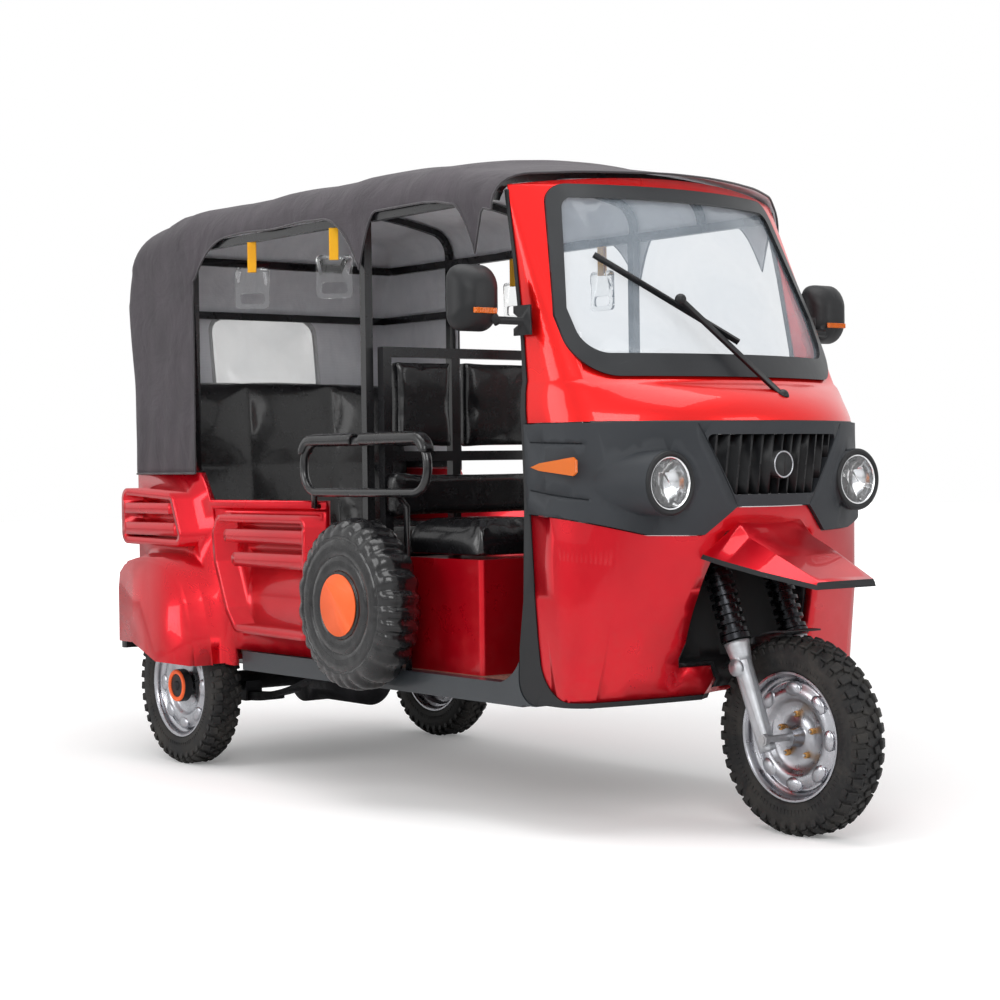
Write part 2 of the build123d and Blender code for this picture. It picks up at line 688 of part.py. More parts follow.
# Dashboard shelf below the windscreen, and the column shroud
with BuildPart() as dashboard:
    with BuildSketch(deck(1120)):
        with Locations((1960, 0)):
            Rectangle(230, 2 * half_w)
    extrude(amount=22)
    with BuildSketch(deck(1095)):
        with Locations((2050, 0)):
            Rectangle(20, 2 * half_w)
    extrude(amount=27)
    add(cab_form(-skin - 1), mode=Mode.INTERSECT)
pieces["dashboard"] = dashboard

# Wiper: spindle, arm and blade lying on the windscreen
wiper_pivot, wiper_joint = (2108, 58, 1112), (1962, -160, 1362)
blade_tip, blade_tail = (1830, -338, 1479), (2034, -25, 1252)
with BuildPart() as wiper:
    bar((2075, 58, 1098), wiper_pivot, 26, 0)
    bar(wiper_pivot, wiper_joint, 16, 9)
    bar(blade_tail, blade_tip, 9, 14)
    with Locations(base.location * Location(wiper_joint)):
        Sphere(15)
    with Locations(base.location * Location(wiper_pivot)):
        Sphere(17)
    add(cab_outer, mode=Mode.SUBTRACT)
pieces["wiper"] = wiper

# Mirrors on short arms, each with a plate on the cab's side
mirror_c, mirror_size = (1722, 636, 1366), (74, 134, 166)
mirror_plate = ((1722, 1272), (1722, 1290), (1744, 1300), (1744, 1316),
                (1722, 1330), (1722, 1348), (1790, 1348), (1790, 1272))
mirror_rows = ((0, 134, 166, 40), (34, 130, 162, 44), (58, 104, 132, 44), (74, 56, 78, 27))
with BuildPart() as mirrors:
    for s in (-1, 1):
        for depth, wide, high, corner in mirror_rows:
            with BuildSketch(cross(mirror_c[0] - mirror_size[0] / 2 + depth)):
                with Locations((s * mirror_c[1], mirror_c[2])):
                    RectangleRounded(wide, high, corner)
        loft()
    with BuildSketch(cross(mirror_c[0] - mirror_size[0] / 2)):
        for s in (-1, 1):
            with Locations((s * mirror_c[1], mirror_c[2])):
                RectangleRounded(mirror_size[1] - 14, mirror_size[2] - 14, 34)
    extrude(amount=8, mode=Mode.SUBTRACT)
    for s in (-1, 1):
        bar((1752, s * 480, 1308), (1752, s * 590, 1308), 20, 0)
        bar((1752, s * 590, 1300), (1734, s * 600, 1330), 22, 0)
        sheet(side(s * (half_w - 3)), mirror_plate, -s * 6)
    add(cab_outer, mode=Mode.SUBTRACT)
pieces["mirrors"] = mirrors

with BuildPart() as mirror_glass:
    with BuildSketch(cross(mirror_c[0] - mirror_size[0] / 2 + 3)):
        for s in (-1, 1):
            with Locations((s * mirror_c[1], mirror_c[2])):
                RectangleRounded(mirror_size[1] - 15, mirror_size[2] - 15, 33)
    extrude(amount=5)
pieces["mirror_glass"] = mirror_glass

# Canopy: one cloth shell with the side openings, the corner gussets and the rear window cut out
curtain_front, window_half, window_low, window_high = 96, 218, 1185, 1468
bay_top = 1656
lip_gap = 4
# Side bays: outline points with a round at each; the cloth that is left between them is the gusset
bay_rear = ((curtain_front, 700), (curtain_front, 1560), (230, bay_top + 6), (880, bay_top), (1020, 1500), (1020, 700))
bay_front = ((1052, 700), (1052, 1530), (1110, bay_top - 8), (1480, bay_top - 4), (1570, 1500), (1640, 1672), (1700, 1690), (1700, 700))
with BuildPart() as canopy:
    add(canopy_outer)
    add(canopy_inner, mode=Mode.SUBTRACT)
    with BuildSketch(deck(0)):
        Rectangle(6000, 1400)
    extrude(amount=canopy_hem, mode=Mode.SUBTRACT)
    sheet(side(-700), bay_rear, -1400, Mode.SUBTRACT)
    sheet(side(-700), bay_front, -1400, Mode.SUBTRACT)
    sheet(side(-700), ((1015, 700), (1015, 1500), (1035, 1490), (1055, 1530), (1055, 700)), -1400, Mode.SUBTRACT)
    with BuildSketch(cross(-500)):
        with Locations((0, (window_low + window_high) / 2)):
            RectangleRounded(2 * window_half, window_high - window_low, 60)
    extrude(amount=400, mode=Mode.SUBTRACT)
    with BuildSketch(deck(0)):
        with BuildLine():
            Polyline((1640, -600), (-700, -600), (-700, 600), (1640, 600), (1640, 482 + lip_gap), (1655, 482 + lip_gap))
            ThreePointArc((1655, 482 + lip_gap), (1806, 0), (1655, -482 - lip_gap))
            Polyline((1655, -482 - lip_gap), (1640, -482 - lip_gap), (1640, -600))
        make_face()
    extrude(amount=2500, mode=Mode.INTERSECT)
    add(cab_form(3), mode=Mode.SUBTRACT)
pieces["canopy"] = canopy

with BuildPart() as rear_window:
    add(canopy_form(-3))
    add(canopy_form(-5), mode=Mode.SUBTRACT)
    with BuildSketch(cross(-500)):
        with Locations((0, (window_low + window_high) / 2)):
            RectangleRounded(2 * window_half, window_high - window_low, 60)
    extrude(amount=400, mode=Mode.INTERSECT)
pieces["rear_window"] = rear_window

# Frame under the cloth: posts, bows across the roof, and hoops round the back, all cut from one inner form
bow = 20
bow_x = (60, 560, post_x - bow / 2, 1330, 1612)
frame_gap = 1
with BuildPart() as canopy_frame:
    with BuildPart(mode=Mode.PRIVATE) as band:
        add(canopy_form(-cloth - frame_gap))
        add(canopy_form(-cloth - frame_gap - bow), mode=Mode.SUBTRACT)
    with BuildPart(mode=Mode.PRIVATE) as slots:
        for x in bow_x:
            block((x, x + bow), (-600, 600), (rail_z - 22, 1900))
        block((-400, 1637), (-600, 600), (rail_z - 22, rail_z + 3))
        block((-400, 85), (-600, 600), (1452, 1477))
        block((60, 85), (-600, 600), (quarter_top, rail_z))
        block((-400, 85), (-600, 600), (quarter_top + 2, quarter_top + 26))
    add(band.part)
    add(slots.part, mode=Mode.INTERSECT)
    for s in (-1, 1):
        y = canopy_half - cloth - frame_gap - tube / 2
        bar((post_x, s * y, floor_z), (post_x, s * y, rail_z + 3), tube)
pieces["canopy_frame"] = canopy_frame

# Guard loops beside the passengers, with their pads
loop_x, loop_z, loop_r, loop_tube = (748, 1362), (870, 1014), 66, 12.5
loop_y = half_w + loop_tube + 6
support_x = (800, 1215)
support_y, support_bend = 500, 830
with BuildPart() as guard_loops:
    for s in (-1, 1):
        x0, x1, z0, z1 = *loop_x, *loop_z
        with BuildLine(side(s * loop_y)) as ring:
            FilletPolyline((x0, z0), (x1, z0), (x1, z1), (x0, z1), radius=loop_r, close=True)
        path = ring.wire()
        with BuildSketch(Plane(path @ 0, z_dir=path % 0)) as tube_end:
            Circle(loop_tube)
        sweep(tube_end.sketch, path=path)
        bar((support_x[0], s * loop_y, loop_z[0]), (support_x[0], s * loop_y, panel_top - 20), 18, 0)
        bar((support_x[0], s * loop_y, panel_top - 16), (support_x[0], s * (half_w - 12), panel_top - 16), 14, 0)
        bar((support_x[1], s * loop_y, loop_z[0]), (support_x[1], s * support_y, support_bend), 18, 0)
        bar((support_x[1], s * support_y, support_bend + 4), (support_x[1], s * support_y, floor_z - 1), 18, 0)
        for z in loop_z:
            bar((post_x, s * loop_y, z), (post_x, s * (half_w - 14), z), 16, 0)
    add(side_sills.part, mode=Mode.SUBTRACT)
    for piece in (rear_body_right, rear_body_left, canopy_frame):
        add(piece.part, mode=Mode.SUBTRACT)
pieces["guard_loops"] = guard_loops

# Armrest pads: they wrap the top of each loop and turn down at its corner
pad_w, pad_h, pad_up, pad_turn = 46, 36, 6, 45
pad_rows = ((752, 1016, 978), (1358, 1054, 978))
with BuildPart() as armrest_pads:
    for s in (-1, 1):
        for x0, x1, low in pad_rows:
            top = loop_z[1] + pad_up
            reach = pad_turn if x1 > x0 else -pad_turn
            with BuildLine(side(s * loop_y)) as along:
                Line((x0, low), (x0, top - pad_turn))
                RadiusArc((x0, top - pad_turn), (x0 + reach, top), reach)
                Line((x0 + reach, top), (x1, top))
            path = along.wire()
            with BuildSketch(Plane(path @ 0, x_dir=(0, 1, 0), z_dir=path % 0)) as pad_end:
                RectangleRounded(pad_w, pad_h, 15)
            sweep(pad_end.sketch, path=path)
    add(guard_loops.part, mode=Mode.SUBTRACT)
pieces["armrest_pads"] = armrest_pads

# Grab handles: clear plates with a finger slot, on webbing straps from the roof rail
handle_x, handle_y = (430, 881), 507
handle_w, handle_h, handle_t, handle_top = 104, 124, 10, 1551
strap_w, strap_t = 26, 3
handle_turn = 52
with BuildPart() as grab_handles:
    for s in (-1, 1):
        for x in handle_x:
            angle = radians(handle_turn) if s < 0 else 0
            facing = Plane((rear_x + x, s * handle_y, handle_top), x_dir=(cos(angle), sin(angle), 0),
                           z_dir=(sin(angle), -cos(angle), 0))
            with BuildSketch(facing) as plate:
                with Locations((0, -handle_h / 2)):
                    RectangleRounded(handle_w, handle_h, 14)
                with Locations((0, 30 - handle_h)):
                    RectangleRounded(handle_w - 30, 32, 12, mode=Mode.SUBTRACT)
                with Locations((0, -10)):
                    SlotOverall(strap_w + 4, 7, mode=Mode.SUBTRACT)
            extrude(plate.sketch, amount=handle_t / 2, both=True)
pieces["grab_handles"] = grab_handles

with BuildPart() as handle_straps:
    for s in (-1, 1):
        for x in handle_x:
            angle = radians(handle_turn) if s < 0 else 0
            facing = Plane((rear_x + x, s * handle_y, handle_top), x_dir=(cos(angle), sin(angle), 0),
                           z_dir=(sin(angle), -cos(angle), 0))
            hang = rail_z - 24 - handle_top
            with BuildSketch(Plane(facing.origin + Vector(0, 0, -14), x_dir=facing.x_dir, z_dir=(0, 0, 1))) as outer:
                Rectangle(strap_w, handle_t + 2 * strap_t)
                Rectangle(strap_w, handle_t, mode=Mode.SUBTRACT)
            extrude(outer.sketch, amount=hang + 14)
            for z, thick in ((-12, 3), (hang - 1, 3)):
                with BuildSketch(Plane(facing.origin + Vector(0, 0, z), x_dir=facing.x_dir, z_dir=(0, 0, 1))) as tie:
                    Rectangle(strap_w, handle_t + 2 * strap_t)
                extrude(tie.sketch, amount=thick)
pieces["handle_straps"] = handle_straps
# Passenger bench: a hollow box between and over the wheels, cushion and back
bench_front, bench_top, bench_wall = 340, 640, 16
inner_half = half_w - skin
with BuildPart() as rear_seat_box:
    block((bench_front - bench_wall, bench_front), (-425, 425), (floor_z, bench_top))
    block((-250, bench_front), (-inner_half + 5, inner_half - 5), (bench_top - bench_wall, bench_top))
    for s in (-1, 1):
        block((-250, bench_front), sorted((s * 409, s * 425)), (floor_z + 60, bench_top))
pieces["rear_seat_box"] = rear_seat_box

cushion_h, seat_gap = 115, 0.3
back_foot, back_head, back_top, back_t = -120, -170, 1240, 95
with BuildPart() as rear_seat_cushion:
    with BuildSketch(deck(bench_top + seat_gap)):
        with Locations(((-110 + bench_front + 12) / 2, 0)):
            RectangleRounded(bench_front + 12 + 110, 2 * inner_half - 14, 30)
    extrude(amount=cushion_h)
pieces["rear_seat_cushion"] = rear_seat_cushion

with BuildPart() as rear_seat_back:
    with BuildSketch(side(-inner_half + 8)):
        with BuildLine():
            foot_z = bench_top + seat_gap
            Polyline((back_foot, foot_z), (back_foot - back_t, foot_z), (back_head - back_t + 10, back_top),
                     (back_head, back_top), (back_foot, foot_z))
        make_face()
    extrude(amount=-2 * inner_half + 16)
    fillet(rear_seat_back.edges().filter_by(Axis.X).group_by(Axis.Z)[-1], 60)
pieces["rear_seat_back"] = rear_seat_back

# Partition behind the driver: posts and rails, three pads above, the driver's backrest below
part_x, part_half, part_tube = 1072, 468, 28
part_top, part_low = 1279, 985
pad_bays = ((-453, -246), (-214, 214), (246, 453))
with BuildPart() as partition_frame:
    for y in (-part_half, -230, 230, part_half):
        bar((part_x, y, floor_z), (part_x, y, part_top), part_tube)
    for z in (part_top - part_tube / 2, part_low - part_tube / 2):
        bar((part_x, -part_half, z), (part_x, part_half, z), part_tube)
    for s in (-1, 1):
        bar((part_x - part_tube / 2 - 5, s * 486, 940), (part_x - part_tube / 2 - 5, s * part_half, 940), 20)
    add(canopy_frame.part, mode=Mode.SUBTRACT)
pieces["partition_frame"] = partition_frame

with BuildPart() as partition_pads:
    for y0, y1 in pad_bays:
        with BuildSketch(cross(part_x - 12)):
            with Locations(((y0 + y1) / 2, (part_top + part_low) / 2 - part_tube / 2)):
                RectangleRounded(y1 - y0, part_top - part_low - part_tube - 6, 12)
        extrude(amount=44)
    with BuildSketch(cross(part_x + part_tube / 2 + seat_gap)):
        with Locations((0, 862)):
            RectangleRounded(2 * 490, 136, 30)
    extrude(amount=48)
pieces["partition_pads"] = partition_pads

# Driver's seat: a hollow box with the batteries inside, and a cushion
box_x, box_half, box_top, box_wall = (1150, 1492), 455, 690, 14
with BuildPart() as driver_seat_box:
    with BuildSketch(deck(floor_z)):
        with Locations((sum(box_x) / 2, 0)):
            RectangleRounded(box_x[1] - box_x[0], 2 * box_half, 14)
    extrude(amount=box_top - floor_z)
    with BuildSketch(deck(floor_z)):
        with Locations((sum(box_x) / 2, 0)):
            RectangleRounded(box_x[1] - box_x[0] - 2 * box_wall, 2 * (box_half - box_wall), 4)
    extrude(amount=box_top - floor_z - box_wall, mode=Mode.SUBTRACT)
pieces["driver_seat_box"] = driver_seat_box

with BuildPart() as battery_block:
    block((box_x[0] + 30, box_x[1] - 30), (-390, 390), (floor_z, 630))
pieces["battery_block"] = battery_block

with BuildPart() as driver_seat_cushion:
    with BuildSketch(deck(box_top + seat_gap)):
        with Locations((1312, 0)):
            RectangleRounded(352, 2 * box_half + 8, 30)
    extrude(amount=102)
pieces["driver_seat_cushion"] = driver_seat_cushion

# Spare wheel on the right side: covered wheel, orange disc and its carrier arm
spare_x, spare_z, spare_r = 1098, 562, 240
spare_in, spare_out = -518, -652
with BuildPart() as spare_wheel:
    with BuildSketch(Plane((rear_x + spare_x, 0, spare_z), x_dir=(0, 1, 0), z_dir=(1, 0, 0))):
        with BuildLine():
            FilletPolyline((spare_in, 0), (spare_in, spare_r), (spare_out, spare_r), (spare_out, 0), radius=34)
            Line((spare_out, 0), (spare_in, 0))
        make_face()
    revolve(axis=Axis((rear_x + spare_x, 0, spare_z), (0, 1, 0)))
pieces["spare_wheel"] = spare_wheel

with BuildPart() as spare_disc:
    with BuildSketch(Plane((rear_x + spare_x, spare_out, spare_z), x_dir=(1, 0, 0), z_dir=(0, -1, 0))):
        Circle(86)
    extrude(amount=4)
pieces["spare_disc"] = spare_disc

with BuildPart() as spare_carrier:
    bar((spare_x, spare_in, spare_z), (spare_x, -490, spare_z), 30, 0)
    bar((spare_x, -490, spare_z - 15), (spare_x, -490, floor_z), 30)
    bar((post_x, -490, spare_z), (spare_x + 15, -490, spare_z), 30)
    block((spare_x - 70, spare_x + 70), (spare_in, spare_in + 8), (spare_z - 70, spare_z + 70))
    for piece in (canopy_frame, floor_pan, side_sills, partition_frame):
        add(piece.part, mode=Mode.SUBTRACT)
pieces["spare_carrier"] = spare_carrier

# Rear axle with its gear case and motor
tube_r, case_r, motor_r = 32, 88, 82
with BuildPart() as rear_axle:
    bar((0, -432, tyre_r), (0, 432, tyre_r), 2 * tube_r, 0)
    for s in (-1, 1):
        bar((0, s * 430, tyre_r), (0, s * 441, tyre_r), 170, 0)
        bar((0, s * 430, tyre_r), (0, s * (track / 2 + 52), tyre_r), 2 * stub_r, 0)
    bar((0, -70, tyre_r), (0, 70, tyre_r), 2 * case_r, 0)
    bar((40, 0, tyre_r), (300, 0, tyre_r), 2 * motor_r, 0)
    bar((300, 0, tyre_r), (322, 0, tyre_r), 2 * motor_r - 40, 0)
pieces["rear_axle"] = rear_axle

# Leaf springs under the rails, with hangers, clamp plates and dampers
leaf_w, leaf_t, leaf_low = 45, 9, 206
leaf_ends = (-345, 405)
eye_z = 282
with BuildPart() as leaf_springs:
    for s in (-1, 1):
        for k, cut in enumerate((0, 110, 210)):
            x0, x1 = leaf_ends[0] + cut, leaf_ends[1] - cut
            middle = (leaf_ends[0] + leaf_ends[1]) / 2
            rise = eye_z - leaf_low
            half = (leaf_ends[1] - leaf_ends[0]) / 2

            def leaf_z(x, shift):
                return leaf_low - k * leaf_t + shift + rise * ((x - middle) / half) ** 2

            with BuildSketch(side(s * rail_y + leaf_w / 2)):
                with BuildLine():
                    ThreePointArc((x0, leaf_z(x0, 0)), (middle, leaf_z(middle, 0)), (x1, leaf_z(x1, 0)))
                    Line((x1, leaf_z(x1, 0)), (x1, leaf_z(x1, leaf_t)))
                    ThreePointArc((x1, leaf_z(x1, leaf_t)), (middle, leaf_z(middle, leaf_t)), (x0, leaf_z(x0, leaf_t)))
                    Line((x0, leaf_z(x0, leaf_t)), (x0, leaf_z(x0, 0)))
                make_face()
            extrude(amount=leaf_w)
        for x in leaf_ends:
            bar((x, s * rail_y - leaf_w / 2, eye_z + 6), (x, s * rail_y + leaf_w / 2, eye_z + 6), 30, 0)
            block((x - 18, x + 18), sorted((s * rail_y - 24, s * rail_y + 24)), (eye_z + 6, rail_top - rail_h))
        block((-45, 45), (s * rail_y - 30, s * rail_y + 30), (leaf_low - 20, tyre_r))
    add(rear_axle.part, mode=Mode.SUBTRACT)
pieces["leaf_springs"] = leaf_springs
# Fork: cast legs, lower and upper yokes, stem; the springs round the sliding tubes; handlebar; mudguard
leg_top, seat_low, seat_high, yoke_s = 262, 266, 470, 474
leg_r, slider_r, spring_r, wire_r = 24, 15, 37, 5
turns = 7
with BuildPart() as fork_legs:
    for s in (-1, 1):
        with BuildSketch(fork_at(-24)):
            with Locations((4, s * leg_y)):
                RectangleRounded(40, 34, 10)
        with BuildSketch(fork_at(leg_top - 50)):
            with Locations((0, s * leg_y)):
                RectangleRounded(48, 46, 20)
        loft()
        with BuildSketch(fork_at(leg_top - 50)):
            with Locations((0, s * leg_y)):
                Circle(leg_r + 2)
        with BuildSketch(fork_at(leg_top)):
            with Locations((0, s * leg_y)):
                Circle(spring_r - 4)
        loft()
        with BuildSketch(fork_at(leg_top)):
            with Locations((0, s * leg_y)):
                Circle(slider_r)
        extrude(amount=yoke_s - leg_top + 4)
        with BuildSketch(fork_side(s * leg_y + (leg_r - 4 if s > 0 else 4 - leg_r))):
            with Locations((0, 196)):
                Circle(21)
        extrude(amount=-s * 12)
    with BuildSketch(fork_at(yoke_s)):
        with Locations((0, -leg_y), (0, leg_y)):
            Circle(34)
        Rectangle(60, 2 * leg_y)
    extrude(amount=24)
    with BuildSketch(fork_at(yoke_s + 20)):
        Circle(18)
    extrude(amount=head_s1 + 80 - yoke_s - 20)
    with BuildSketch(fork_side(-leg_y - 60)):
        with Locations((axle_lead, 0)):
            Circle(front_axle_r + running)
    extrude(amount=-2 * leg_y - 120, mode=Mode.SUBTRACT)
pieces["fork_legs"] = fork_legs

with BuildPart() as front_axle:
    with BuildSketch(fork_side(-leg_y - 32)):
        with Locations((axle_lead, 0)):
            Circle(front_axle_r)
    extrude(amount=-2 * leg_y - 64)
    for y in (-leg_y - 18, leg_y + 18 + 12):
        with BuildSketch(fork_side(y)):
            with Locations((axle_lead, 0)):
                RegularPolygon(16, 6)
        extrude(amount=12)
pieces["front_axle"] = front_axle

with BuildPart() as fork_springs:
    pitch = (seat_high - seat_low - 30) / turns
    for s in (-1, 1):
        for low, high, r in ((seat_low, seat_low + 14, spring_r + 2), (seat_high - 12, seat_high, spring_r + 2),
                             (seat_low, seat_high, spring_r - 10)):
            with BuildSketch(fork_at(low)):
                with Locations((0, s * leg_y)):
                    Circle(r)
                    Circle(slider_r + 0.5, mode=Mode.SUBTRACT)
            extrude(amount=high - low)
        for k in range(turns):
            with BuildSketch(fork_at(seat_low + 18 + k * pitch)):
                with Locations((0, s * leg_y)):
                    Circle(spring_r)
                    Circle(slider_r + 0.5, mode=Mode.SUBTRACT)
            extrude(amount=2 * wire_r)
pieces["fork_springs"] = fork_springs

grip_half, bar_r = 290, 11
with BuildPart() as handlebar:
    with BuildSketch(fork_at(head_s1 + 60)):
        Circle(26)
        Circle(18.2, mode=Mode.SUBTRACT)
    extrude(amount=60)
    stem_top = foot + up_axis * (head_s1 + 104) - base.origin
    x, z = stem_top.X, stem_top.Z
    for s in (-1, 1):
        bar((x - 24, 0, z), (x - 24, s * 100, z), 2 * bar_r, 0)
        bar((x - 24, s * 96, z), (x - 70, s * 190, z + 22), 2 * bar_r, 0)
        bar((x - 69, s * 186, z + 22), (x - 90, s * grip_half, z + 22), 2 * bar_r + 10, 0)
        with Locations(base.location * Location((x - 24, s * 98, z))):
            Sphere(bar_r + 1)
    with Locations(base.location * Location((x - 12, 0, z))):
        Box(46, 60, 30)
pieces["handlebar"] = handlebar

guard_r, guard_half, guard_low = 264, 62, 225
with BuildPart() as front_mudguard:
    with BuildSketch(fork_side(-guard_half)):
        with Locations((axle_lead, 0)):
            Circle(guard_r + 4)
            Circle(guard_r, mode=Mode.SUBTRACT)
        with Locations((0, guard_low - 400)):
            Rectangle(900, 800, mode=Mode.SUBTRACT)
        with Locations((axle_lead + 260, 200)):
            Rectangle(300, 400, mode=Mode.SUBTRACT)
    extrude(amount=-2 * guard_half)
    for s in (-1, 1):
        with BuildSketch(fork_at(guard_r - 14)):
            with Locations((4, s * (guard_half + 6))):
                Rectangle(30, 24)
        extrude(amount=16)
    add(fork_legs.part, mode=Mode.SUBTRACT)
pieces["front_mudguard"] = front_mudguard

# Headlamp lenses
with BuildPart() as headlamp_lenses:
    with BuildSketch(cross(lamp_x - 6)):
        with Locations((-lamp_half, lamp_h), (lamp_half, lamp_h)):
            Circle(bowl_r - 1)
    extrude(amount=5)
    add(headlamps.part, mode=Mode.SUBTRACT)
pieces["headlamp_lenses"] = headlamp_lenses

for name, piece in pieces.items():
    piece.part.label = name
    export_step(piece.part, f"parts/{name}.step")
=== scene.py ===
# Looks for the auto rickshaw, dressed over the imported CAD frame. All lengths are in metres.
import json
from math import atan2, cos, pi, radians, sin, sqrt

import bmesh
import bpy
from mathutils import Matrix, Vector, noise
from mathutils.bvhtree import BVHTree


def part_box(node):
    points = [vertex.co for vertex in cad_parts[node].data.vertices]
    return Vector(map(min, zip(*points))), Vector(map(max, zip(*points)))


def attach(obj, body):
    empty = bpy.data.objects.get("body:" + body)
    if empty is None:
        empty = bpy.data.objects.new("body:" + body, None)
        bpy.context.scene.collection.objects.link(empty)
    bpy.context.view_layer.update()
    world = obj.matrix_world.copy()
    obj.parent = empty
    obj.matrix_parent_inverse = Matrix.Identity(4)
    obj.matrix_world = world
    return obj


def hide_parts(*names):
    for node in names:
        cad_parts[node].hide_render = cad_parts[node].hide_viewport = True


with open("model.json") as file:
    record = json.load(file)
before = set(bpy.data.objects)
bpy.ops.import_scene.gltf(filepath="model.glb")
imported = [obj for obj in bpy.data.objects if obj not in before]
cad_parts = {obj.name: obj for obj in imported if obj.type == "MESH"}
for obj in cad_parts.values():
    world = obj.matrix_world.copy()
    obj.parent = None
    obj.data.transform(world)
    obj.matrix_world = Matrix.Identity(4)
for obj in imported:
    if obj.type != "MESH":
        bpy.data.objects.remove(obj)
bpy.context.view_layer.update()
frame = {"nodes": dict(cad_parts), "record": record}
nodes = frame["nodes"]
print("frame loaded,", len(nodes), "CAD nodes")

rearX = -1.0175          # the rear axle, in the frame of the model
viewCamera = {
    "place": (4.90609, -3.83571, 0.94714), "yaw": 142.132, "pitch": 1.0, "roll": -0.7376, "lens": 75.418,
}


def atX(ahead):
    return rearX + ahead


# Camera, as the photograph was taken
yaw, pitch, roll = (radians(viewCamera[k]) for k in ("yaw", "pitch", "roll"))
ahead = Vector((cos(yaw) * cos(pitch), sin(yaw) * cos(pitch), -sin(pitch)))
right = Vector((sin(yaw), -cos(yaw), 0))
up = right.cross(ahead)
tiltRight = cos(roll) * right + sin(roll) * up
tiltUp = -sin(roll) * right + cos(roll) * up
turned = Matrix((tiltRight, tiltUp, -ahead)).transposed()
cameraData = bpy.data.cameras.new("photoCamera")
cameraData.lens, cameraData.sensor_width, cameraData.clip_end = viewCamera["lens"], 36, 100
camera = bpy.data.objects.new("photoCamera", cameraData)
camera.matrix_world = Matrix.Translation(viewCamera["place"]) @ turned.to_4x4()
bpy.context.scene.collection.objects.link(camera)
bpy.context.scene.camera = camera
bpy.context.scene.view_settings.view_transform = "Standard"


# Shader building: a wrapped socket that takes Python's own arithmetic, and one way to add any other node
class Sock:
    def __init__(self, tree, socket):
        self.tree, self.socket = tree, socket

    def maths(self, kind, first, second):
        node = self.tree.nodes.new("ShaderNodeMath")
        node.operation = kind
        for slot, value in zip(node.inputs, (first, second)):
            if isinstance(value, Sock):
                self.tree.links.new(value.socket, slot)
            else:
                slot.default_value = value
        return Sock(self.tree, node.outputs[0])

    def __add__(self, other):
        return self.maths("ADD", self, other)

    def __radd__(self, other):
        return self.maths("ADD", other, self)

    def __sub__(self, other):
        return self.maths("SUBTRACT", self, other)

    def __rsub__(self, other):
        return self.maths("SUBTRACT", other, self)

    def __mul__(self, other):
        return self.maths("MULTIPLY", self, other)

    def __rmul__(self, other):
        return self.maths("MULTIPLY", other, self)

    def __truediv__(self, other):
        return self.maths("DIVIDE", self, other)


class Finish:
    def __init__(self, name, viewColor=(0.5, 0.5, 0.5)):
        self.material = bpy.data.materials.new(name)
        self.material.use_nodes = True
        self.material.diffuse_color = (*viewColor, 1)
        self.tree = self.material.node_tree
        self.tree.nodes.clear()
        self.output = self.tree.nodes.new("ShaderNodeOutputMaterial")

    def add(self, kind, settings=None, sockets=None, out=0):
        node = self.tree.nodes.new(kind)
        for key, value in (settings or {}).items():
            setattr(node, key, value)
        for key, value in (sockets or {}).items():
            slot = node.inputs[key]
            if isinstance(value, Sock):
                self.tree.links.new(value.socket, slot)
            else:
                slot.default_value = value
        return Sock(self.tree, node.outputs[out])

    def place(self, scale=(1, 1, 1)):
        coords = self.add("ShaderNodeTexCoord", out="Object")
        return self.add("ShaderNodeMapping", None, {"Vector": coords, "Scale": scale})

    def cloud(self, scale, detail=4, rough=0.55, at=None, warp=0.0):
        sockets = {"Vector": at or self.place(), "Scale": scale, "Detail": detail, "Roughness": rough,
                   "Distortion": warp}
        return self.add("ShaderNodeTexNoise", None, sockets, "Fac")

    def fade(self, value, low, high, start=0.0, end=1.0):
        sockets = {"Value": value, "From Min": low, "From Max": high, "To Min": start, "To Max": end}
        return self.add("ShaderNodeMapRange", None, sockets, "Result")

    def blend(self, mask, first, second):
        return self.add("ShaderNodeMix", {"data_type": "RGBA"}, {0: mask, 6: first, 7: second}, 2)

    def relief(self, height, distance, strength=1.0, under=None):
        sockets = {"Height": height, "Distance": distance, "Strength": strength}
        if under:
            sockets["Normal"] = under
        return self.add("ShaderNodeBump", None, sockets, "Normal")

    def surface(self, **values):
        names = {"color": "Base Color", "rough": "Roughness", "metal": "Metallic", "normal": "Normal",
                 "coat": "Coat Weight", "coatRough": "Coat Roughness", "alpha": "Alpha",
                 "through": "Transmission Weight", "ior": "IOR", "sheen": "Sheen Weight",
                 "sheenRough": "Sheen Roughness", "level": "Specular IOR Level"}
        return self.add("ShaderNodeBsdfPrincipled", None, {names[k]: v for k, v in values.items()}, "BSDF")

    def done(self, shader):
        self.tree.links.new(shader.socket, self.output.inputs["Surface"])
        return self.material


def rgb(red, green, blue):
    parts = [v / 255 for v in (red, green, blue)]
    return tuple(((v + 0.055) / 1.055) ** 2.4 if v > 0.04 else v / 12.92 for v in parts) + (1,)


# Materials
def paintFinish(name, base, deep, pearl):
    f = Finish(name, base[:3])
    soft = f.fade(f.cloud(3.1, 3, 0.5), 0.3, 0.75)
    color = f.blend(soft * 0.55, base, deep)
    height = f.add("ShaderNodeSeparateXYZ", None, {"Vector": f.place()}, "Z")
    dust = f.fade(height, 0.75, 0.28) * f.fade(f.cloud(17, 6, 0.65, warp=0.4), 0.42, 0.72)
    color = f.blend(dust * 0.10, color, rgb(150, 120, 105))
    flake = f.fade(f.cloud(900, 2, 0.5), 0.35, 0.65)
    color = f.blend(flake * pearl, color, tuple(min(1, 1.25 * c) for c in base[:3]) + (1,))
    rough = 0.26 + dust * 0.22 + soft * 0.05
    peel = f.relief(f.cloud(115, 2, 0.5), 0.0005, 0.12)
    return f.done(f.surface(color=color, rough=rough, metal=0.62, normal=peel, coat=0.42 - dust * 0.25,
                            coatRough=0.03, level=0.25))


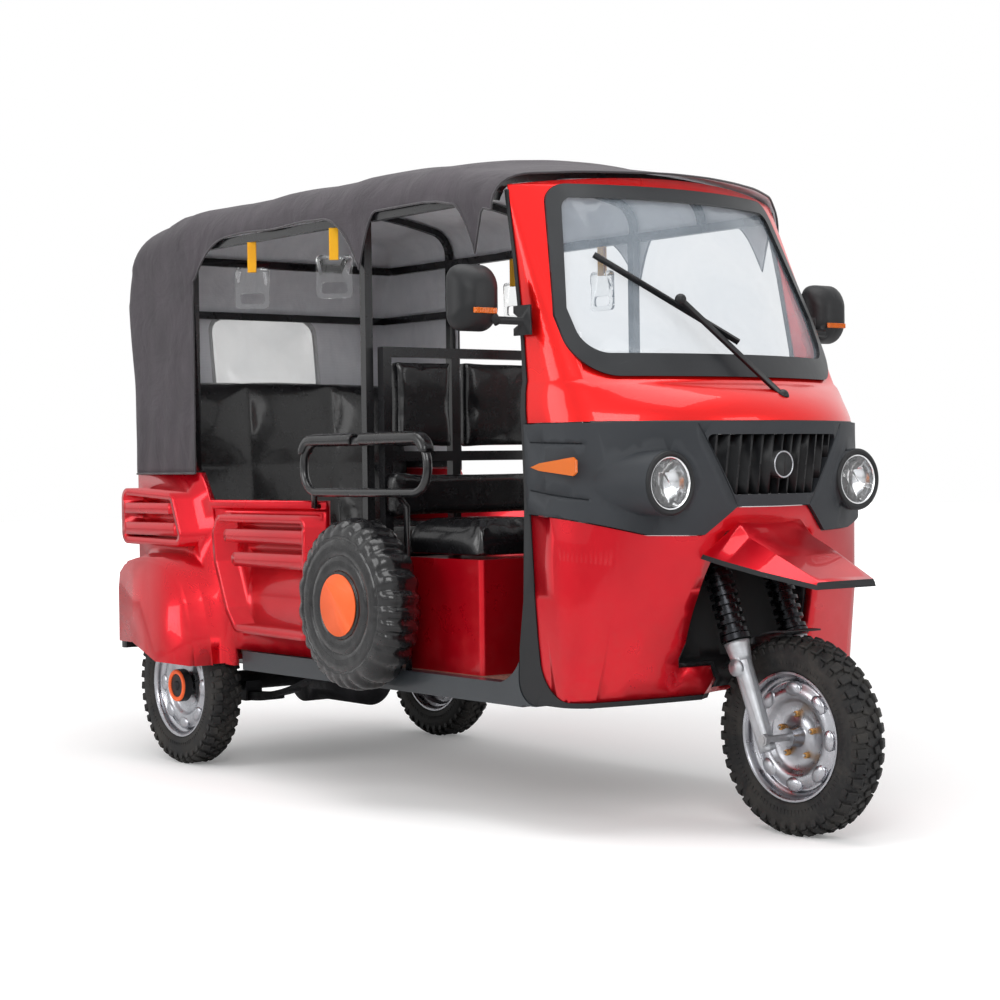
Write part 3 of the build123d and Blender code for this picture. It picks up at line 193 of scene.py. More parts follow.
def mouldedFinish(name, base, rough, grain=420, depth=0.0004, metal=0.0, coat=0.0):
    f = Finish(name, base[:3])
    patch = f.fade(f.cloud(7, 5, 0.6), 0.35, 0.7)
    scuff = f.fade(f.cloud(38, 6, 0.7, warp=0.8), 0.62, 0.8)
    lighter = tuple(min(1, 1.6 * c + 0.012) for c in base[:3]) + (1,)
    color = f.blend(scuff * 0.35 + patch * 0.25, base, lighter)
    bump = f.relief(f.cloud(grain, 3, 0.6), depth, 0.5)
    return f.done(f.surface(color=color, rough=rough + patch * 0.12 - scuff * 0.08, metal=metal, normal=bump,
                            coat=coat, coatRough=0.15, level=0.28))


def steelFinish(name, base, rough, brushed=0.0, grime=0.3):
    f = Finish(name, base[:3])
    cloudy = f.fade(f.cloud(24, 6, 0.62, warp=0.5), 0.4, 0.72)
    fine = f.cloud(260, 4, 0.7)
    dark = tuple(0.35 * c for c in base[:3]) + (1,)
    color = f.blend(cloudy * grime, base, dark)
    brush = f.cloud(60, 4, 0.6, at=f.place(scale=(1, 1, 14)))
    bump = f.relief(brush * brushed + fine * 0.4, 0.0004, 0.35)
    return f.done(f.surface(color=color, rough=rough + cloudy * 0.22 + fine * 0.08, metal=1.0, normal=bump))


def leatherFinish(name):
    f = Finish(name, (0.02, 0.02, 0.02))
    cells = f.add("ShaderNodeTexVoronoi", {"feature": "DISTANCE_TO_EDGE"}, {"Vector": f.place(), "Scale": 330},
                  "Distance")
    creases = f.cloud(16, 5, 0.6, warp=1.4)
    fold = f.cloud(5.5, 4, 0.55, at=f.place(scale=(1.0, 2.2, 1.5)), warp=0.9)
    dust = f.fade(f.cloud(30, 6, 0.7), 0.55, 0.8)
    color = f.blend(dust * 0.12, rgb(13, 13, 15), rgb(60, 58, 60))
    low = f.relief(fold, 0.0035, 0.4)
    mid = f.relief(creases, 0.0012, 0.35, low)
    bump = f.relief(f.fade(cells, 0.0, 0.25), 0.0003, 0.35, mid)
    return f.done(f.surface(color=color, rough=0.26 + dust * 0.2, normal=bump, coat=0.4, coatRough=0.1,
                            level=0.3))


def clothFinish(name, base, second, weave=900, rough=0.78, sheen=0.25, folds=0.008):
    f = Finish(name, base[:3])
    at = f.place()
    warp, weft, cross = (f.add("ShaderNodeTexWave", {"bands_direction": way},
                               {"Vector": at, "Scale": weave / 3, "Distortion": 1.5}, "Fac") for way in "XZY")
    threads = (warp + weft + cross) / 3
    blotch = f.fade(f.cloud(5, 6, 0.62, warp=0.6), 0.36, 0.7)
    streak = f.fade(f.cloud(26, 5, 0.6, at=f.place(scale=(1, 1, 0.25))), 0.45, 0.75)
    color = f.blend(blotch * 0.6 + streak * 0.3, base, second)
    color = f.blend(threads * 0.18, color, tuple(0.55 * c for c in base[:3]) + (1,))
    crease = f.relief(f.cloud(7, 5, 0.58, warp=1.2), folds, 0.55)
    bump = f.relief(threads, 0.0005, 0.4, crease)
    return f.done(f.surface(color=color, rough=rough - blotch * 0.1, normal=bump, sheen=sheen, sheenRough=0.5,
                            level=0.2))


def glassFinish(name, tint, alpha, haze, cloudyAmount=0.25):
    f = Finish(name, tint[:3])
    film = f.fade(f.cloud(4.2, 5, 0.55, warp=0.7), 0.3, 0.75)
    color = f.blend(film * cloudyAmount, tint, rgb(214, 222, 228))
    return f.done(f.surface(color=color, rough=haze + film * 0.05, alpha=alpha + film * 0.12, coat=0.6,
                            coatRough=0.03))


def lensFinish(name, tint, ribs, rough=0.04, through=0.95):
    f = Finish(name, tint[:3])
    lines = f.add("ShaderNodeTexWave", {"bands_direction": "Y", "wave_profile": "SIN"},
                  {"Vector": f.place(), "Scale": ribs, "Distortion": 0.0}, "Fac")
    smear = f.fade(f.cloud(20, 5, 0.6), 0.4, 0.8)
    bump = f.relief(lines, 0.0004, 0.4)
    return f.done(f.surface(color=tint, rough=rough + smear * 0.06, normal=bump, through=through, ior=1.46))


def matFinish(name):
    f = Finish(name, (0.3, 0.15, 0.1))
    grit = f.cloud(120, 6, 0.75)
    patch = f.fade(f.cloud(9, 5, 0.6), 0.35, 0.7)
    color = f.blend(f.fade(grit, 0.4, 0.62), rgb(66, 34, 26), rgb(142, 96, 80))
    color = f.blend(patch * 0.4, color, rgb(92, 66, 58))
    at = f.place(scale=(1, 0.55, 1))
    knobs = f.fade(f.add("ShaderNodeTexVoronoi", None, {"Vector": at, "Scale": 75}, "Distance"), 0.2, 0.6)
    return f.done(f.surface(color=color, rough=0.72 + patch * 0.15, normal=f.relief(knobs, 0.0015, 0.5)))


def tyreFinish(name):
    f = Finish(name, (0.02, 0.02, 0.02))
    grit = f.cloud(95, 6, 0.7)
    dust = f.fade(f.cloud(11, 6, 0.66, warp=0.5), 0.42, 0.75)
    color = f.blend(dust * 0.3 + f.fade(grit, 0.5, 0.8) * 0.12, rgb(24, 24, 25), rgb(98, 94, 88))
    bump = f.relief(grit, 0.0008, 0.5)
    return f.done(f.surface(color=color, rough=0.6 + dust * 0.25, normal=bump, level=0.25))


def castFinish(name, base, rough=0.42, depth=0.0012):
    f = Finish(name, base[:3])
    pits = f.cloud(180, 6, 0.75)
    grime = f.fade(f.cloud(14, 6, 0.68, warp=0.6), 0.42, 0.78)
    color = f.blend(grime * 0.4, base, tuple(0.28 * c for c in base[:3]) + (1,))
    bump = f.relief(pits, depth, 0.5)
    return f.done(f.surface(color=color, rough=rough + grime * 0.25, metal=0.85, normal=bump))


finishes = {
    "redUpper": paintFinish("redUpperPaint", rgb(232, 18, 14), rgb(190, 6, 12), 0.10),
    "redLower": paintFinish("redLowerPaint", rgb(205, 6, 28), rgb(150, 2, 20), 0.06),
    "fascia": mouldedFinish("fasciaPlastic", rgb(40, 43, 47), 0.5, 520, 0.0006),
    "blackPlastic": mouldedFinish("blackPlastic", rgb(21, 22, 24), 0.42, 380, 0.0004),
    "rubber": mouldedFinish("blackRubber", rgb(26, 27, 29), 0.55, 240, 0.0005),
    "tube": mouldedFinish("blackTubePaint", rgb(19, 19, 21), 0.22, 140, 0.0003, coat=0.5),
    "sill": mouldedFinish("sillPaint", rgb(40, 44, 48), 0.34, 160, 0.0004, coat=0.3),
    "steel": steelFinish("bareSteel", rgb(170, 170, 172), 0.3, 0.5),
    "chrome": steelFinish("wheelPlating", rgb(172, 173, 178), 0.2, 0.15, 0.34),
    "reflector": steelFinish("lampReflector", rgb(232, 233, 235), 0.06, 0.0, 0.05),
    "brass": steelFinish("brassNuts", rgb(200, 150, 90), 0.28, 0.2, 0.35),
    "cast": castFinish("castAlloy", rgb(178, 180, 184)),
    "springSteel": castFinish("springPaint", rgb(34, 35, 38), 0.24, 0.0003),
    "engine": castFinish("darkCasting", rgb(52, 52, 55), 0.55, 0.001),
    "tyre": tyreFinish("tyreRubber"),
    "glass": glassFinish("hazyWindscreen", rgb(160, 172, 184), 0.2, 0.05),
    "lens": lensFinish("clearLens", (0.96, 0.97, 0.98, 1), 12),
    "bulb": lensFinish("bulbAmber", rgb(236, 130, 30), 60, 0.08, 0.6),
    "amber": lensFinish("amberLens", rgb(238, 120, 24), 55, 0.12, 0.35),
    "redLens": lensFinish("redLens", rgb(170, 6, 10), 55, 0.1, 0.35),
    "mirror": steelFinish("mirrorSilver", rgb(222, 226, 230), 0.02, 0.0, 0.03),
    "leather": leatherFinish("blackLeatherette"),
    "canopy": clothFinish("canopyCloth", rgb(72, 67, 72), rgb(48, 45, 49), sheen=0.1, folds=0.014),
    "canopyEdge": clothFinish("canopyHemTape", rgb(60, 57, 61), rgb(42, 40, 43), 1500, 0.7, 0.3, 0.001),
    "lining": clothFinish("canopyLining", rgb(228, 229, 233), rgb(200, 202, 208), 700, 0.85, 0.1, 0.01),
    "webbing": clothFinish("yellowWebbing", rgb(240, 180, 30), rgb(214, 142, 12), 1400, 0.7, 0.3, 0.001),
    "film": glassFinish("windowFilm", rgb(246, 246, 243), 0.28, 0.3, 0.6),
    "acrylic": lensFinish("clearAcrylic", (0.97, 0.98, 0.98, 1), 8, 0.03, 1.0),
    "mat": matFinish("floorMat"),
    "orange": mouldedFinish("orangePlastic", rgb(238, 96, 44), 0.4, 260, 0.0004),
    "gasket": mouldedFinish("gasketRubber", rgb(27, 29, 32), 0.38, 200, 0.0003, coat=0.15),
}

wears = {
    "chassis_frame": "tube", "floor_pan": "mat", "side_sills": "sill", "rear_body_right": "redLower",
    "rear_body_left": "redLower", "tail_panel": "redLower", "tail_lamps": "redLens", "rear_bumper": "tube",
    "cab_upper": "redUpper", "windscreen_gasket": "gasket", "windscreen": "glass", "wheel_well": "blackPlastic",
    "cab_lower": "redLower", "nose_fascia": "fascia", "grille": "blackPlastic", "headlamps": "reflector",
    "headlamp_lenses": "lens", "side_indicators": "amber", "cab_edge_trim": "rubber", "front_beak": "redLower",
    "dashboard": "blackPlastic", "wiper": "blackPlastic", "mirrors": "blackPlastic", "mirror_glass": "mirror",
    "canopy": "canopy", "rear_window": "film", "canopy_frame": "tube", "guard_loops": "tube",
    "armrest_pads": "leather", "grab_handles": "acrylic", "handle_straps": "webbing", "rear_seat_box": "sill",
    "rear_seat_cushion": "leather", "rear_seat_back": "leather", "partition_frame": "tube",
    "partition_pads": "leather", "driver_seat_box": "redLower", "battery_block": "engine",
    "driver_seat_cushion": "leather", "spare_wheel": "leather", "spare_disc": "orange", "spare_carrier": "tube",
    "rear_axle": "engine", "leaf_springs": "engine", "fork_legs": "cast", "front_axle": "steel",
    "fork_springs": "springSteel", "handlebar": "tube", "front_mudguard": "blackPlastic",
    "front_tyre": "tyre", "front_rim": "chrome", "rear_right_tyre": "tyre", "rear_right_rim": "chrome",
    "rear_left_tyre": "tyre", "rear_left_rim": "chrome",
}
for name, piece in nodes.items():
    piece.data.materials.clear()
    piece.data.materials.append(finishes[wears[name]])
print("materials made:", len(finishes))

bodyOf = {name: body for body, names in frame["record"]["behaviour"]["bodies"].items() for name in names}


def keep(piece, body, finish=None, stands=()):
    if finish:
        piece.data.materials.clear()
        piece.data.materials.append(finishes[finish])
    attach(piece, body)
    if stands:
        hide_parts(*stands)
    return piece


def linked(name, mesh):
    piece = bpy.data.objects.new(name, mesh)
    bpy.context.scene.collection.objects.link(piece)
    return piece


def onlySelect(piece):
    bpy.ops.object.select_all(action="DESELECT")
    piece.select_set(True)
    bpy.context.view_layer.objects.active = piece


def applyAll(piece):
    onlySelect(piece)
    for modifier in list(piece.modifiers):
        bpy.ops.object.modifier_apply(modifier=modifier.name)


def smoothAngle(piece, angle=34):
    onlySelect(piece)
    bpy.ops.object.shade_smooth_by_angle(angle=radians(angle))


def mergedCopy(node, name):
    mesh = nodes[node].data.copy()
    bm = bmesh.new()
    bm.from_mesh(mesh)
    bmesh.ops.remove_doubles(bm, verts=bm.verts, dist=0.00002)
    bm.to_mesh(mesh)
    bm.free()
    return linked(name, mesh)


def between(pairs, value):
    for (a, first), (b, second) in zip(pairs, pairs[1:]):
        if value <= b:
            return first + (second - first) * max(0.0, (value - a)) / (b - a)
    return pairs[-1][1]


def ease(value, low, high):
    share = min(1.0, max(0.0, (value - low) / (high - low)))
    return share * share * (3 - 2 * share)


# Canopy: one sheet over the roof, down the sides, round the rear corners and across the back
canopyCloth = {
    "shoulder": ((-0.36, 1.702), (-0.06, 1.766), (1.15, 1.766), (1.4, 1.748), (1.64, 1.703), (1.82, 1.672)),
    "crown": ((-0.36, 1.746), (-0.06, 1.818), (1.15, 1.818), (1.4, 1.795), (1.64, 1.742), (1.82, 1.706)),
    "back": ((0.928, -0.31), (1.223, -0.316), (1.494, -0.353), (1.57, -0.338), (1.65, -0.3), (1.722, -0.25),
             (1.8, -0.19), (1.9, -0.08)),
    "half": 0.524, "roundR": 0.1025, "roundEnd": 77.3, "crownHalf": 0.444, "rise": 0.1,
    "curtain": ((0.928, 1.185, 15), (1.185, 1.468, 17), (1.468, 1.535, 4)),     # from, to, rows
    "curtainTop": 1.535, "curtainFront": 0.096,
    "sideRows": 9, "roundRows": 7, "crownRows": 27, "rearColumns": 30, "roofColumns": 112, "frontColumns": 4,
    "backColumns": 62,
    "lip": {"from": 1.6, "rowsAt": 1.62, "edge": 0.486, "side": 1.640, "lift": 0.015, "middle": 1.806,
            "radius": 0.8576},
    "window": (0.206, 1.197, 1.456, 0.05), "windowNear": 0.03,                  # half width, low, high, corner
    "bows": (-0.3, 0.07, 0.57, 1.032, 1.34, 1.622),
    "thick": 0.0026,
    # passes of smoothing, and where: behind x, off the back, off the side, below or above z
    "cornerEase": {"passes": 7, "back": 0.06, "side": 0.07, "below": 1.6},
    "rearEase": {"passes": 3, "x": -0.12, "above": 1.5},
}
c = canopyCloth
hemSpans = (
    # ends at, level, drop, tip at, reach of the tip, power, wave
    (0.330, 1.656, 0.121, 0.100, 0.230, 2.2, 0.0),
    (0.830, 1.656, 0.0, 0.100, 0.230, 1.0, 0.003),
    (1.035, 1.656, 0.163, 1.035, 0.205, 2.3, 0.0),
    (1.120, 1.652, 0.159, 1.035, 0.085, 1.9, 0.0),
    (1.430, 1.652, 0.0, 1.035, 0.085, 1.0, 0.0),
    (1.573, 1.652, 0.156, 1.573, 0.143, 2.1, 0.0),
    (1.900, 1.672, 0.176, 1.573, 0.064, 1.6, 0.0),
)


def hemHeight(x):
    _, level, drop, tip, reach, power, wave = next(span for span in hemSpans if x < span[0])
    away = abs(max(x, hemSpans[0][3]) - tip)
    return level - drop * max(0.0, 1 - away / reach) ** power + wave * sin(x * 19)


def frontReach(y):
    lip = c["lip"]
    if abs(y) > lip["edge"]:
        return lip["side"] + lip["lift"] * (c["half"] - abs(y)) / (c["half"] - lip["edge"])
    return lip["middle"] - lip["radius"] + sqrt(lip["radius"] ** 2 - y * y)


def sheetPoint(x, row):
    # A row is a zone and a share of it: low curtain, side, shoulder round or crown. It gives y and z at x.
    zone, share = row
    shoulder, crown = between(c["shoulder"], x), between(c["crown"], x)
    sideTop = shoulder - c["rise"]
    if zone == "curtain":
        return c["half"], share
    if zone == "side":
        hem = hemHeight(x)
        if x < c["curtainFront"] + 0.001:
            hem = max(hem, c["curtainTop"])
        low = min(hem, sideTop)
        return c["half"], low + (sideTop - low) * share
    if zone == "round":
        turn = radians(c["roundEnd"]) * share
        return c["half"] - c["roundR"] + c["roundR"] * cos(turn), sideTop + c["roundR"] * sin(turn)
    rise = crown - shoulder
    big = (c["crownHalf"] ** 2 + rise ** 2) / (2 * rise)
    turn = atan2(c["crownHalf"], big - rise) * share
    return big * sin(turn), crown - big + big * cos(turn)


curtainRows = [("curtain", a + (b - a) * k / n) for a, b, n in c["curtain"] for k in range(n)]
halfRows = curtainRows + [("side", k / c["sideRows"]) for k in range(c["sideRows"])]
halfRows += [("round", k / c["roundRows"]) for k in range(c["roundRows"])]
crownRows = [("crown", 1 - k / c["crownRows"]) for k in range(2 * c["crownRows"] + 1)]
rows = [(-1, row) for row in halfRows]
rows += [(-1 if share > 0 else 1, (zone, abs(share))) for zone, share in crownRows]
rows += [(1, row) for row in reversed(halfRows)]
roofLength = c["lip"]["from"] - c["curtainFront"]
fixedX = [c["curtainFront"] + roofLength * k / c["roofColumns"] for k in range(c["roofColumns"] + 1)]
rearSteps, frontSteps, lipFrom = c["rearColumns"], c["frontColumns"], c["lip"]["from"]


def backEdge(row):
    x = c["bows"][0]        # a start near the rear bow, closed in on the back's outline
    for _ in range(25):
        x = between(c["back"], sheetPoint(x, row)[1])
    return x


cloth = bmesh.new()
grid = []
for way, row in rows:
    start = backEdge(row)
    line = [start + (c["curtainFront"] - start) * k / rearSteps for k in range(rearSteps)] + fixedX
    end = frontReach(sheetPoint(c["lip"]["rowsAt"], row)[0])
    line += [lipFrom + (end - lipFrom) * (k + 1) / frontSteps for k in range(frontSteps)]
    grid.append([cloth.verts.new((atX(x), way * sheetPoint(x, row)[0], sheetPoint(x, row)[1])) for x in line])
lowCount = len(curtainRows)
for j in range(len(rows) - 1):
    outer = min(j, len(rows) - 2 - j)
    for i in range(len(grid[0]) - 1):
        if outer < lowCount and i >= rearSteps:
            continue
        cloth.faces.new((grid[j][i], grid[j][i + 1], grid[j + 1][i + 1], grid[j + 1][i]))
across = c["backColumns"]
hole, holeLow, holeHigh, holeR = c["window"]
half = len(rows) // 2
last = None
for j in range(half):
    a, b = grid[j][0], grid[len(rows) - 1 - j][0]
    line = [a]
    for k in range(1, across):
        share = 2 * k / across - 1
        line.append(cloth.verts.new((a.co.x, share * abs(a.co.y), a.co.z)))
    line.append(b)
    if last:
        for k in range(across):
            middle = (last[k].co + last[k + 1].co + line[k].co + line[k + 1].co) / 4
            if abs(middle.y) < hole and holeLow < middle.z < holeHigh:
                continue
            cloth.faces.new((last[k + 1], last[k], line[k], line[k + 1]))
    last = line
top = grid[half][0]
for k in range(across):
    cloth.faces.new((last[k + 1], last[k], top))
loose = [v for v in cloth.verts if not v.link_faces]
bmesh.ops.delete(cloth, geom=loose, context="VERTS")
holeMiddle, holeTall, margin = (holeLow + holeHigh) / 2, (holeHigh - holeLow) / 2, c["windowNear"]
cornerY, cornerZ = hole - holeR, holeTall - holeR
for v in cloth.verts:
    y, z = abs(v.co.y), v.co.z
    if v.is_boundary and v.co.x < atX(-0.2) and y < hole + margin and holeLow - margin < z < holeHigh + margin:
        up = 1 if z > holeMiddle else -1
        y, z = min(y, hole), min(abs(z - holeMiddle), holeTall)
        if y > cornerY and z > cornerZ:
            away = Vector((y - cornerY, z - cornerZ))
            y, z = cornerY + away.x / away.length * holeR, cornerZ + away.y / away.length * holeR
        elif z > cornerZ:
            z = holeTall
        else:
            y = hole
        v.co.y, v.co.z = (1 if v.co.y > 0 else -1) * y, holeMiddle + up * z
bmesh.ops.recalc_face_normals(cloth, faces=cloth.faces)
if sum(f.normal.z for f in cloth.faces if f.calc_center_median().z > 1.75) < 0:
    bmesh.ops.reverse_faces(cloth, faces=cloth.faces)
eased = c["cornerEase"]
corner = [v for v in cloth.verts if v.co.x - atX(between(c["back"], v.co.z)) < eased["back"]
          and v.co.z < eased["below"] and abs(v.co.y) > c["half"] - eased["side"]]
for _ in range(eased["passes"]):
    bmesh.ops.smooth_vert(cloth, verts=corner, factor=0.5, use_axis_x=True, use_axis_y=True, use_axis_z=False)
eased = c["rearEase"]
for _ in range(eased["passes"]):
    near = [v for v in cloth.verts
            if not v.is_boundary and v.co.z > eased["above"] and v.co.x < atX(eased["x"])]
    bmesh.ops.smooth_vert(cloth, verts=near, factor=0.5, use_axis_x=True, use_axis_y=True, use_axis_z=True)
cloth.normal_update()
folds = {
    "sag": 0.011, "shortSag": 0.6, "shortBay": 0.3, "roofZ": (1.66, 1.76), "roofX": (-0.24, -0.1),
    "drift": 0.0022, "ripple": 0.0012, "curtain": 0.0016, "back": 0.002, "hangs": (1.45, 0.95),
    "pull": 0.0024, "pullReach": 0.26, "pullRays": 11, "tips": ((0.102, 1.533), (1.035, 1.493), (1.573, 1.496)),
    "inward": 0.0055,
}


def clothShift(v):
    x, y, z = v.co.x - rearX, v.co.y, v.co.z
    roof = ease(z, *folds["roofZ"]) * ease(x, *folds["roofX"])
    for a, b in zip(c["bows"], c["bows"][1:]):
        if a < x < b:
            depth = 1.0 if b - a > folds["shortBay"] else folds["shortSag"]
            roof *= sin(pi * (x - a) / (b - a)) ** 2 * depth
    shift = -folds["sag"] * roof if c["bows"][0] < x < c["bows"][-1] else 0.0
    place = Vector((x, y, z))
    shift += folds["drift"] * noise.noise(place * 5.5)
    shift += folds["ripple"] * noise.noise(Vector((x * 22, y * 9, z * 9)))
    low = ease(z, *folds["hangs"])
    if z < 1.62 and x < 0.1:
        if abs(y) > 0.5:
            shift += folds["curtain"] * low * sin(68 * x + 3 * noise.noise(place * 3))
        else:
            shift += folds["back"] * sin(30 * y + 2 * z) * low
    for tip, height in folds["tips"]:
        away = sqrt((x - tip) ** 2 + (z - height) ** 2)
        if abs(y) > 0.45 and away < folds["pullReach"]:
            ray = sin(folds["pullRays"] * atan2(z - height, x - tip))
            shift += folds["pull"] * (1 - away / folds["pullReach"]) * ray
    return max(-folds["inward"], shift) if z < 1.67 or abs(y) > 0.43 else shift


shifts = {v: v.normal * clothShift(v) for v in cloth.verts}
for v, move in shifts.items():
    v.co += move
rims = [e for e in cloth.edges if e.is_boundary]
clothArea = sum(f.calc_area() for f in cloth.faces)
mesh = bpy.data.meshes.new("canopySheet")
cloth.to_mesh(mesh)
canopySheet = linked("canopySheet", mesh)
canopySheet.data.materials.append(finishes["canopy"])
canopySheet.data.materials.append(finishes["lining"])
for polygon in mesh.polygons:
    polygon.use_smooth = True
wall = canopySheet.modifiers.new("wall", "SOLIDIFY")
wall.thickness, wall.offset, wall.material_offset, wall.use_quality_normals = c["thick"], -1, 1, True
applyAll(canopySheet)
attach(canopySheet, "body")
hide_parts("canopy")

# Bound hem: a flat tape turned over every free edge of the sheet
hemTape = {"radius": 0.0032}
links = {}
for e in rims:
    for a, b in ((e.verts[0], e.verts[1]), (e.verts[1], e.verts[0])):
        links.setdefault(a, []).append(b)
used, loops = set(), []
for startVert in links:
    if startVert in used:
        continue
    loop, here = [], startVert
    while here and here not in used:
        used.add(here)
        loop.append(here.co.copy())
        here = next((n for n in links[here] if n not in used), None)
    loops.append(loop)
curve = bpy.data.curves.new("hemTape", "CURVE")
curve.dimensions, curve.bevel_depth, curve.bevel_resolution = "3D", hemTape["radius"], 2
for loop in loops:
    if len(loop) < 8:
        continue
    spline = curve.splines.new("POLY")
    spline.points.add(len(loop) - 1)
    for point, co in zip(spline.points, loop):
        point.co = (*co, 1)
    spline.use_cyclic_u = True
cloth.free()
tapeCurve = linked("hemTapeCurve", curve)
tapeMesh = bpy.data.meshes.new_from_object(tapeCurve.evaluated_get(bpy.context.evaluated_depsgraph_get()))
bpy.data.objects.remove(tapeCurve)
canopyHem = keep(linked("canopyHem", tapeMesh), "body", "canopyEdge")
smoothAngle(canopyHem, 60)
print("canopy cut and hung, square metres:", round(clothArea, 2))

# Padded pieces: each starts a little smaller than its CAD solid and swells under cloth pressure
pads = {
    # name: node, voxel, drawn in, pressure, most a point may move, channels (axis, places), fill
    "driverCushion": ("driver_seat_cushion", 0.013, 0.010, 4.0, 0.016, (("y", (-0.16, 0.16)),), 0.85),
    "benchCushion": ("rear_seat_cushion", 0.016, 0.011, 4.0, 0.018, (("y", (-0.165, 0.165)),), 0.85),
    "benchBack": ("rear_seat_back", 0.016, 0.011, 4.0, 0.018, (("y", (-0.165, 0.165)), ("z", (0.95,))), 0.8),
    "partitionPads": ("partition_pads", 0.011, 0.005, 3.5, 0.008, (), 0.75),
    "loopPads": ("armrest_pads", 0.0075, 0.001, 3.0, 0.007, (), 0.7),
}
swell = {"frames": 20, "quality": 4, "mass": 0.15}
swelling = {}


def shiftAll(mesh, amount):
    normals = [v.normal.copy() for v in mesh.vertices]  # read first, because a moved point spoils them all
    for v, normal in zip(mesh.vertices, normals):
        v.co = v.co + normal * amount(v.co)


def creases(p):
    return 0.0011 * noise.noise(Vector((p.x * 9, p.y * 5, p.z * 14))) + 0.0005 * noise.noise(p * 27)


for name, (node, voxel, drawn, pressure, cap, channels, fill) in pads.items():
    pad = mergedCopy(node, name)
    remesh = pad.modifiers.new("remesh", "REMESH")
    remesh.mode, remesh.voxel_size = "VOXEL", voxel
    applyAll(pad)
    shiftAll(pad.data, lambda place: -drawn)
    places = [v.co.copy() for v in pad.data.vertices]
    low = min(place.z for place in places)
    held = pad.vertex_groups.new(name="held")
    seams = [(axis, line) for axis, lines in channels for line in lines]
    for index, place in enumerate(places):
        seam = any(abs(getattr(place, axis) - line) < voxel * 0.8 for axis, line in seams)
        under = name in ("driverCushion", "benchCushion") and place.z < low + voxel
        held.add([index], 1.0 if seam or under else 0.0, "REPLACE")
    soft = pad.modifiers.new("swell", "CLOTH")
    soft.settings.use_pressure, soft.settings.uniform_pressure_force = True, pressure
    soft.settings.effector_weights.gravity = 0
    soft.settings.vertex_group_mass = "held"
    soft.settings.quality = swell["quality"]
    soft.collision_settings.use_collision = False
    soft.settings.mass = swell["mass"]
    soft.point_cache.frame_start, soft.point_cache.frame_end = 1, swell["frames"]
    swelling[name] = (pad, cap, places)
if swelling:
    for tick in range(1, swell["frames"] + 1):
        bpy.context.scene.frame_set(tick)
    graph = bpy.context.evaluated_depsgraph_get()
    for name, (pad, cap, before) in swelling.items():
        shape = [v.co.copy() for v in pad.evaluated_get(graph).data.vertices]
        pad.modifiers.clear()
        for v, start, now in zip(pad.data.vertices, before, shape):
            move = now - start
            v.co = start + move * min(1.0, cap / max(move.length, 1e-6))
    print("pads swelled")
for name, (node, *_, fill) in pads.items():
    pad = bpy.data.objects[name]
    shiftAll(pad.data, creases)
    finer = pad.modifiers.new("finer", "SUBSURF")
    finer.levels = finer.render_levels = 1
    applyAll(pad)
    for polygon in pad.data.polygons:
        polygon.use_smooth = True
    pad.vertex_groups.clear()
    keep(pad, "body", "leather", (node,))
print("pads done")

# Curved CAD nodes get a merged copy with smooth shading
skins = {
    24: ("front_beak",), 30: ("side_sills", "headlamp_lenses", "mirror_glass"), 32: ("nose_fascia",),
    34: ("windscreen_gasket", "cab_edge_trim", "wheel_well", "front_rim", "rear_right_rim", "rear_left_rim",
         "spare_disc", "tail_lamps", "grab_handles", "chassis_frame", "canopy_frame", "grille"),
    40: ("cab_upper", "cab_lower", "rear_body_right", "rear_body_left", "windscreen", "guard_loops",
         "rear_axle", "fork_legs", "handlebar", "front_mudguard", "wiper", "rear_window"),
    46: ("mirrors",), 50: ("headlamps",),
}
for angle, names in skins.items():
    for node in names:
        first, *others = node.split("_")
        piece = mergedCopy(node, first + "".join(word.title() for word in others) + "Skin")
        smoothAngle(piece, angle)
        keep(piece, bodyOf[node], wears[node], (node,))
print("skins smoothed")

# Spare wheel: a leatherette cover gathered over the tread, with a flat ringed face round the disc
spare = {
    "profile": ((0.0, 0.0015), (0.086, 0.0015), (0.092, 0.006), (0.098, 0.0015), (0.132, 0.001), (0.137, 0.005),
                (0.142, 0.001), (0.178, 0.001), (0.184, 0.004), (0.190, 0.0015), (0.208, 0.004), (0.222, 0.012),
                (0.232, 0.026), (0.238, 0.046), (0.2395, 0.067), (0.238, 0.088), (0.232, 0.108), (0.220, 0.122),
                (0.205, 0.130), (0.180, 0.133), (0.120, 0.1335), (0.0, 0.1335)),
    "around": 360, "finer": 3, "pleat": 0.011, "pleats": 27, "middle": 0.067,
}
low, high = (Vector(corner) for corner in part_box("spare_wheel"))
spareHub = (low + high) / 2
mesh = bpy.data.meshes.new("spareCover")
bm = bmesh.new()
section, finer = [], spare["finer"]
for (r0, d0), (r1, d1) in zip(spare["profile"], spare["profile"][1:]):
    section += [(r0 + (r1 - r0) * k / finer, d0 + (d1 - d0) * k / finer) for k in range(finer)]
rings = []
for r, depth in section[1:]:
    ring = []
    for k in range(spare["around"]):
        turn = 2 * pi * k / spare["around"]
        slant = turn * spare["pleats"] + 1.9 * sin(3 * turn) + 1.1 * sin(5 * turn + 1)
        slant += 9 * (depth - spare["middle"])
        fold = (0.5 + 0.5 * sin(slant)) ** 1.7
        share = ease(r, 0.165, 0.236) * (1.0 if depth > 0.06 else 0.85)
        loose = noise.noise(Vector((cos(turn) * r * 30, sin(turn) * r * 30, depth * 40)))
        pull = r - share * (spare["pleat"] * fold + 0.002 * loose)
        out = 0.0012 * loose * ease(r, 0.02, 0.12) + share * 0.002 * fold
        side = low.y + depth + (out if depth < spare["middle"] else -out)
        ring.append(bm.verts.new((spareHub.x + pull * cos(turn), side, spareHub.z + pull * sin(turn))))
    rings.append(ring)
for a, b in zip(rings, rings[1:]):
    for k in range(spare["around"]):
        n = (k + 1) % spare["around"]
        bm.faces.new((a[k], a[n], b[n], b[k]))
bm.faces.new(rings[0][::-1])
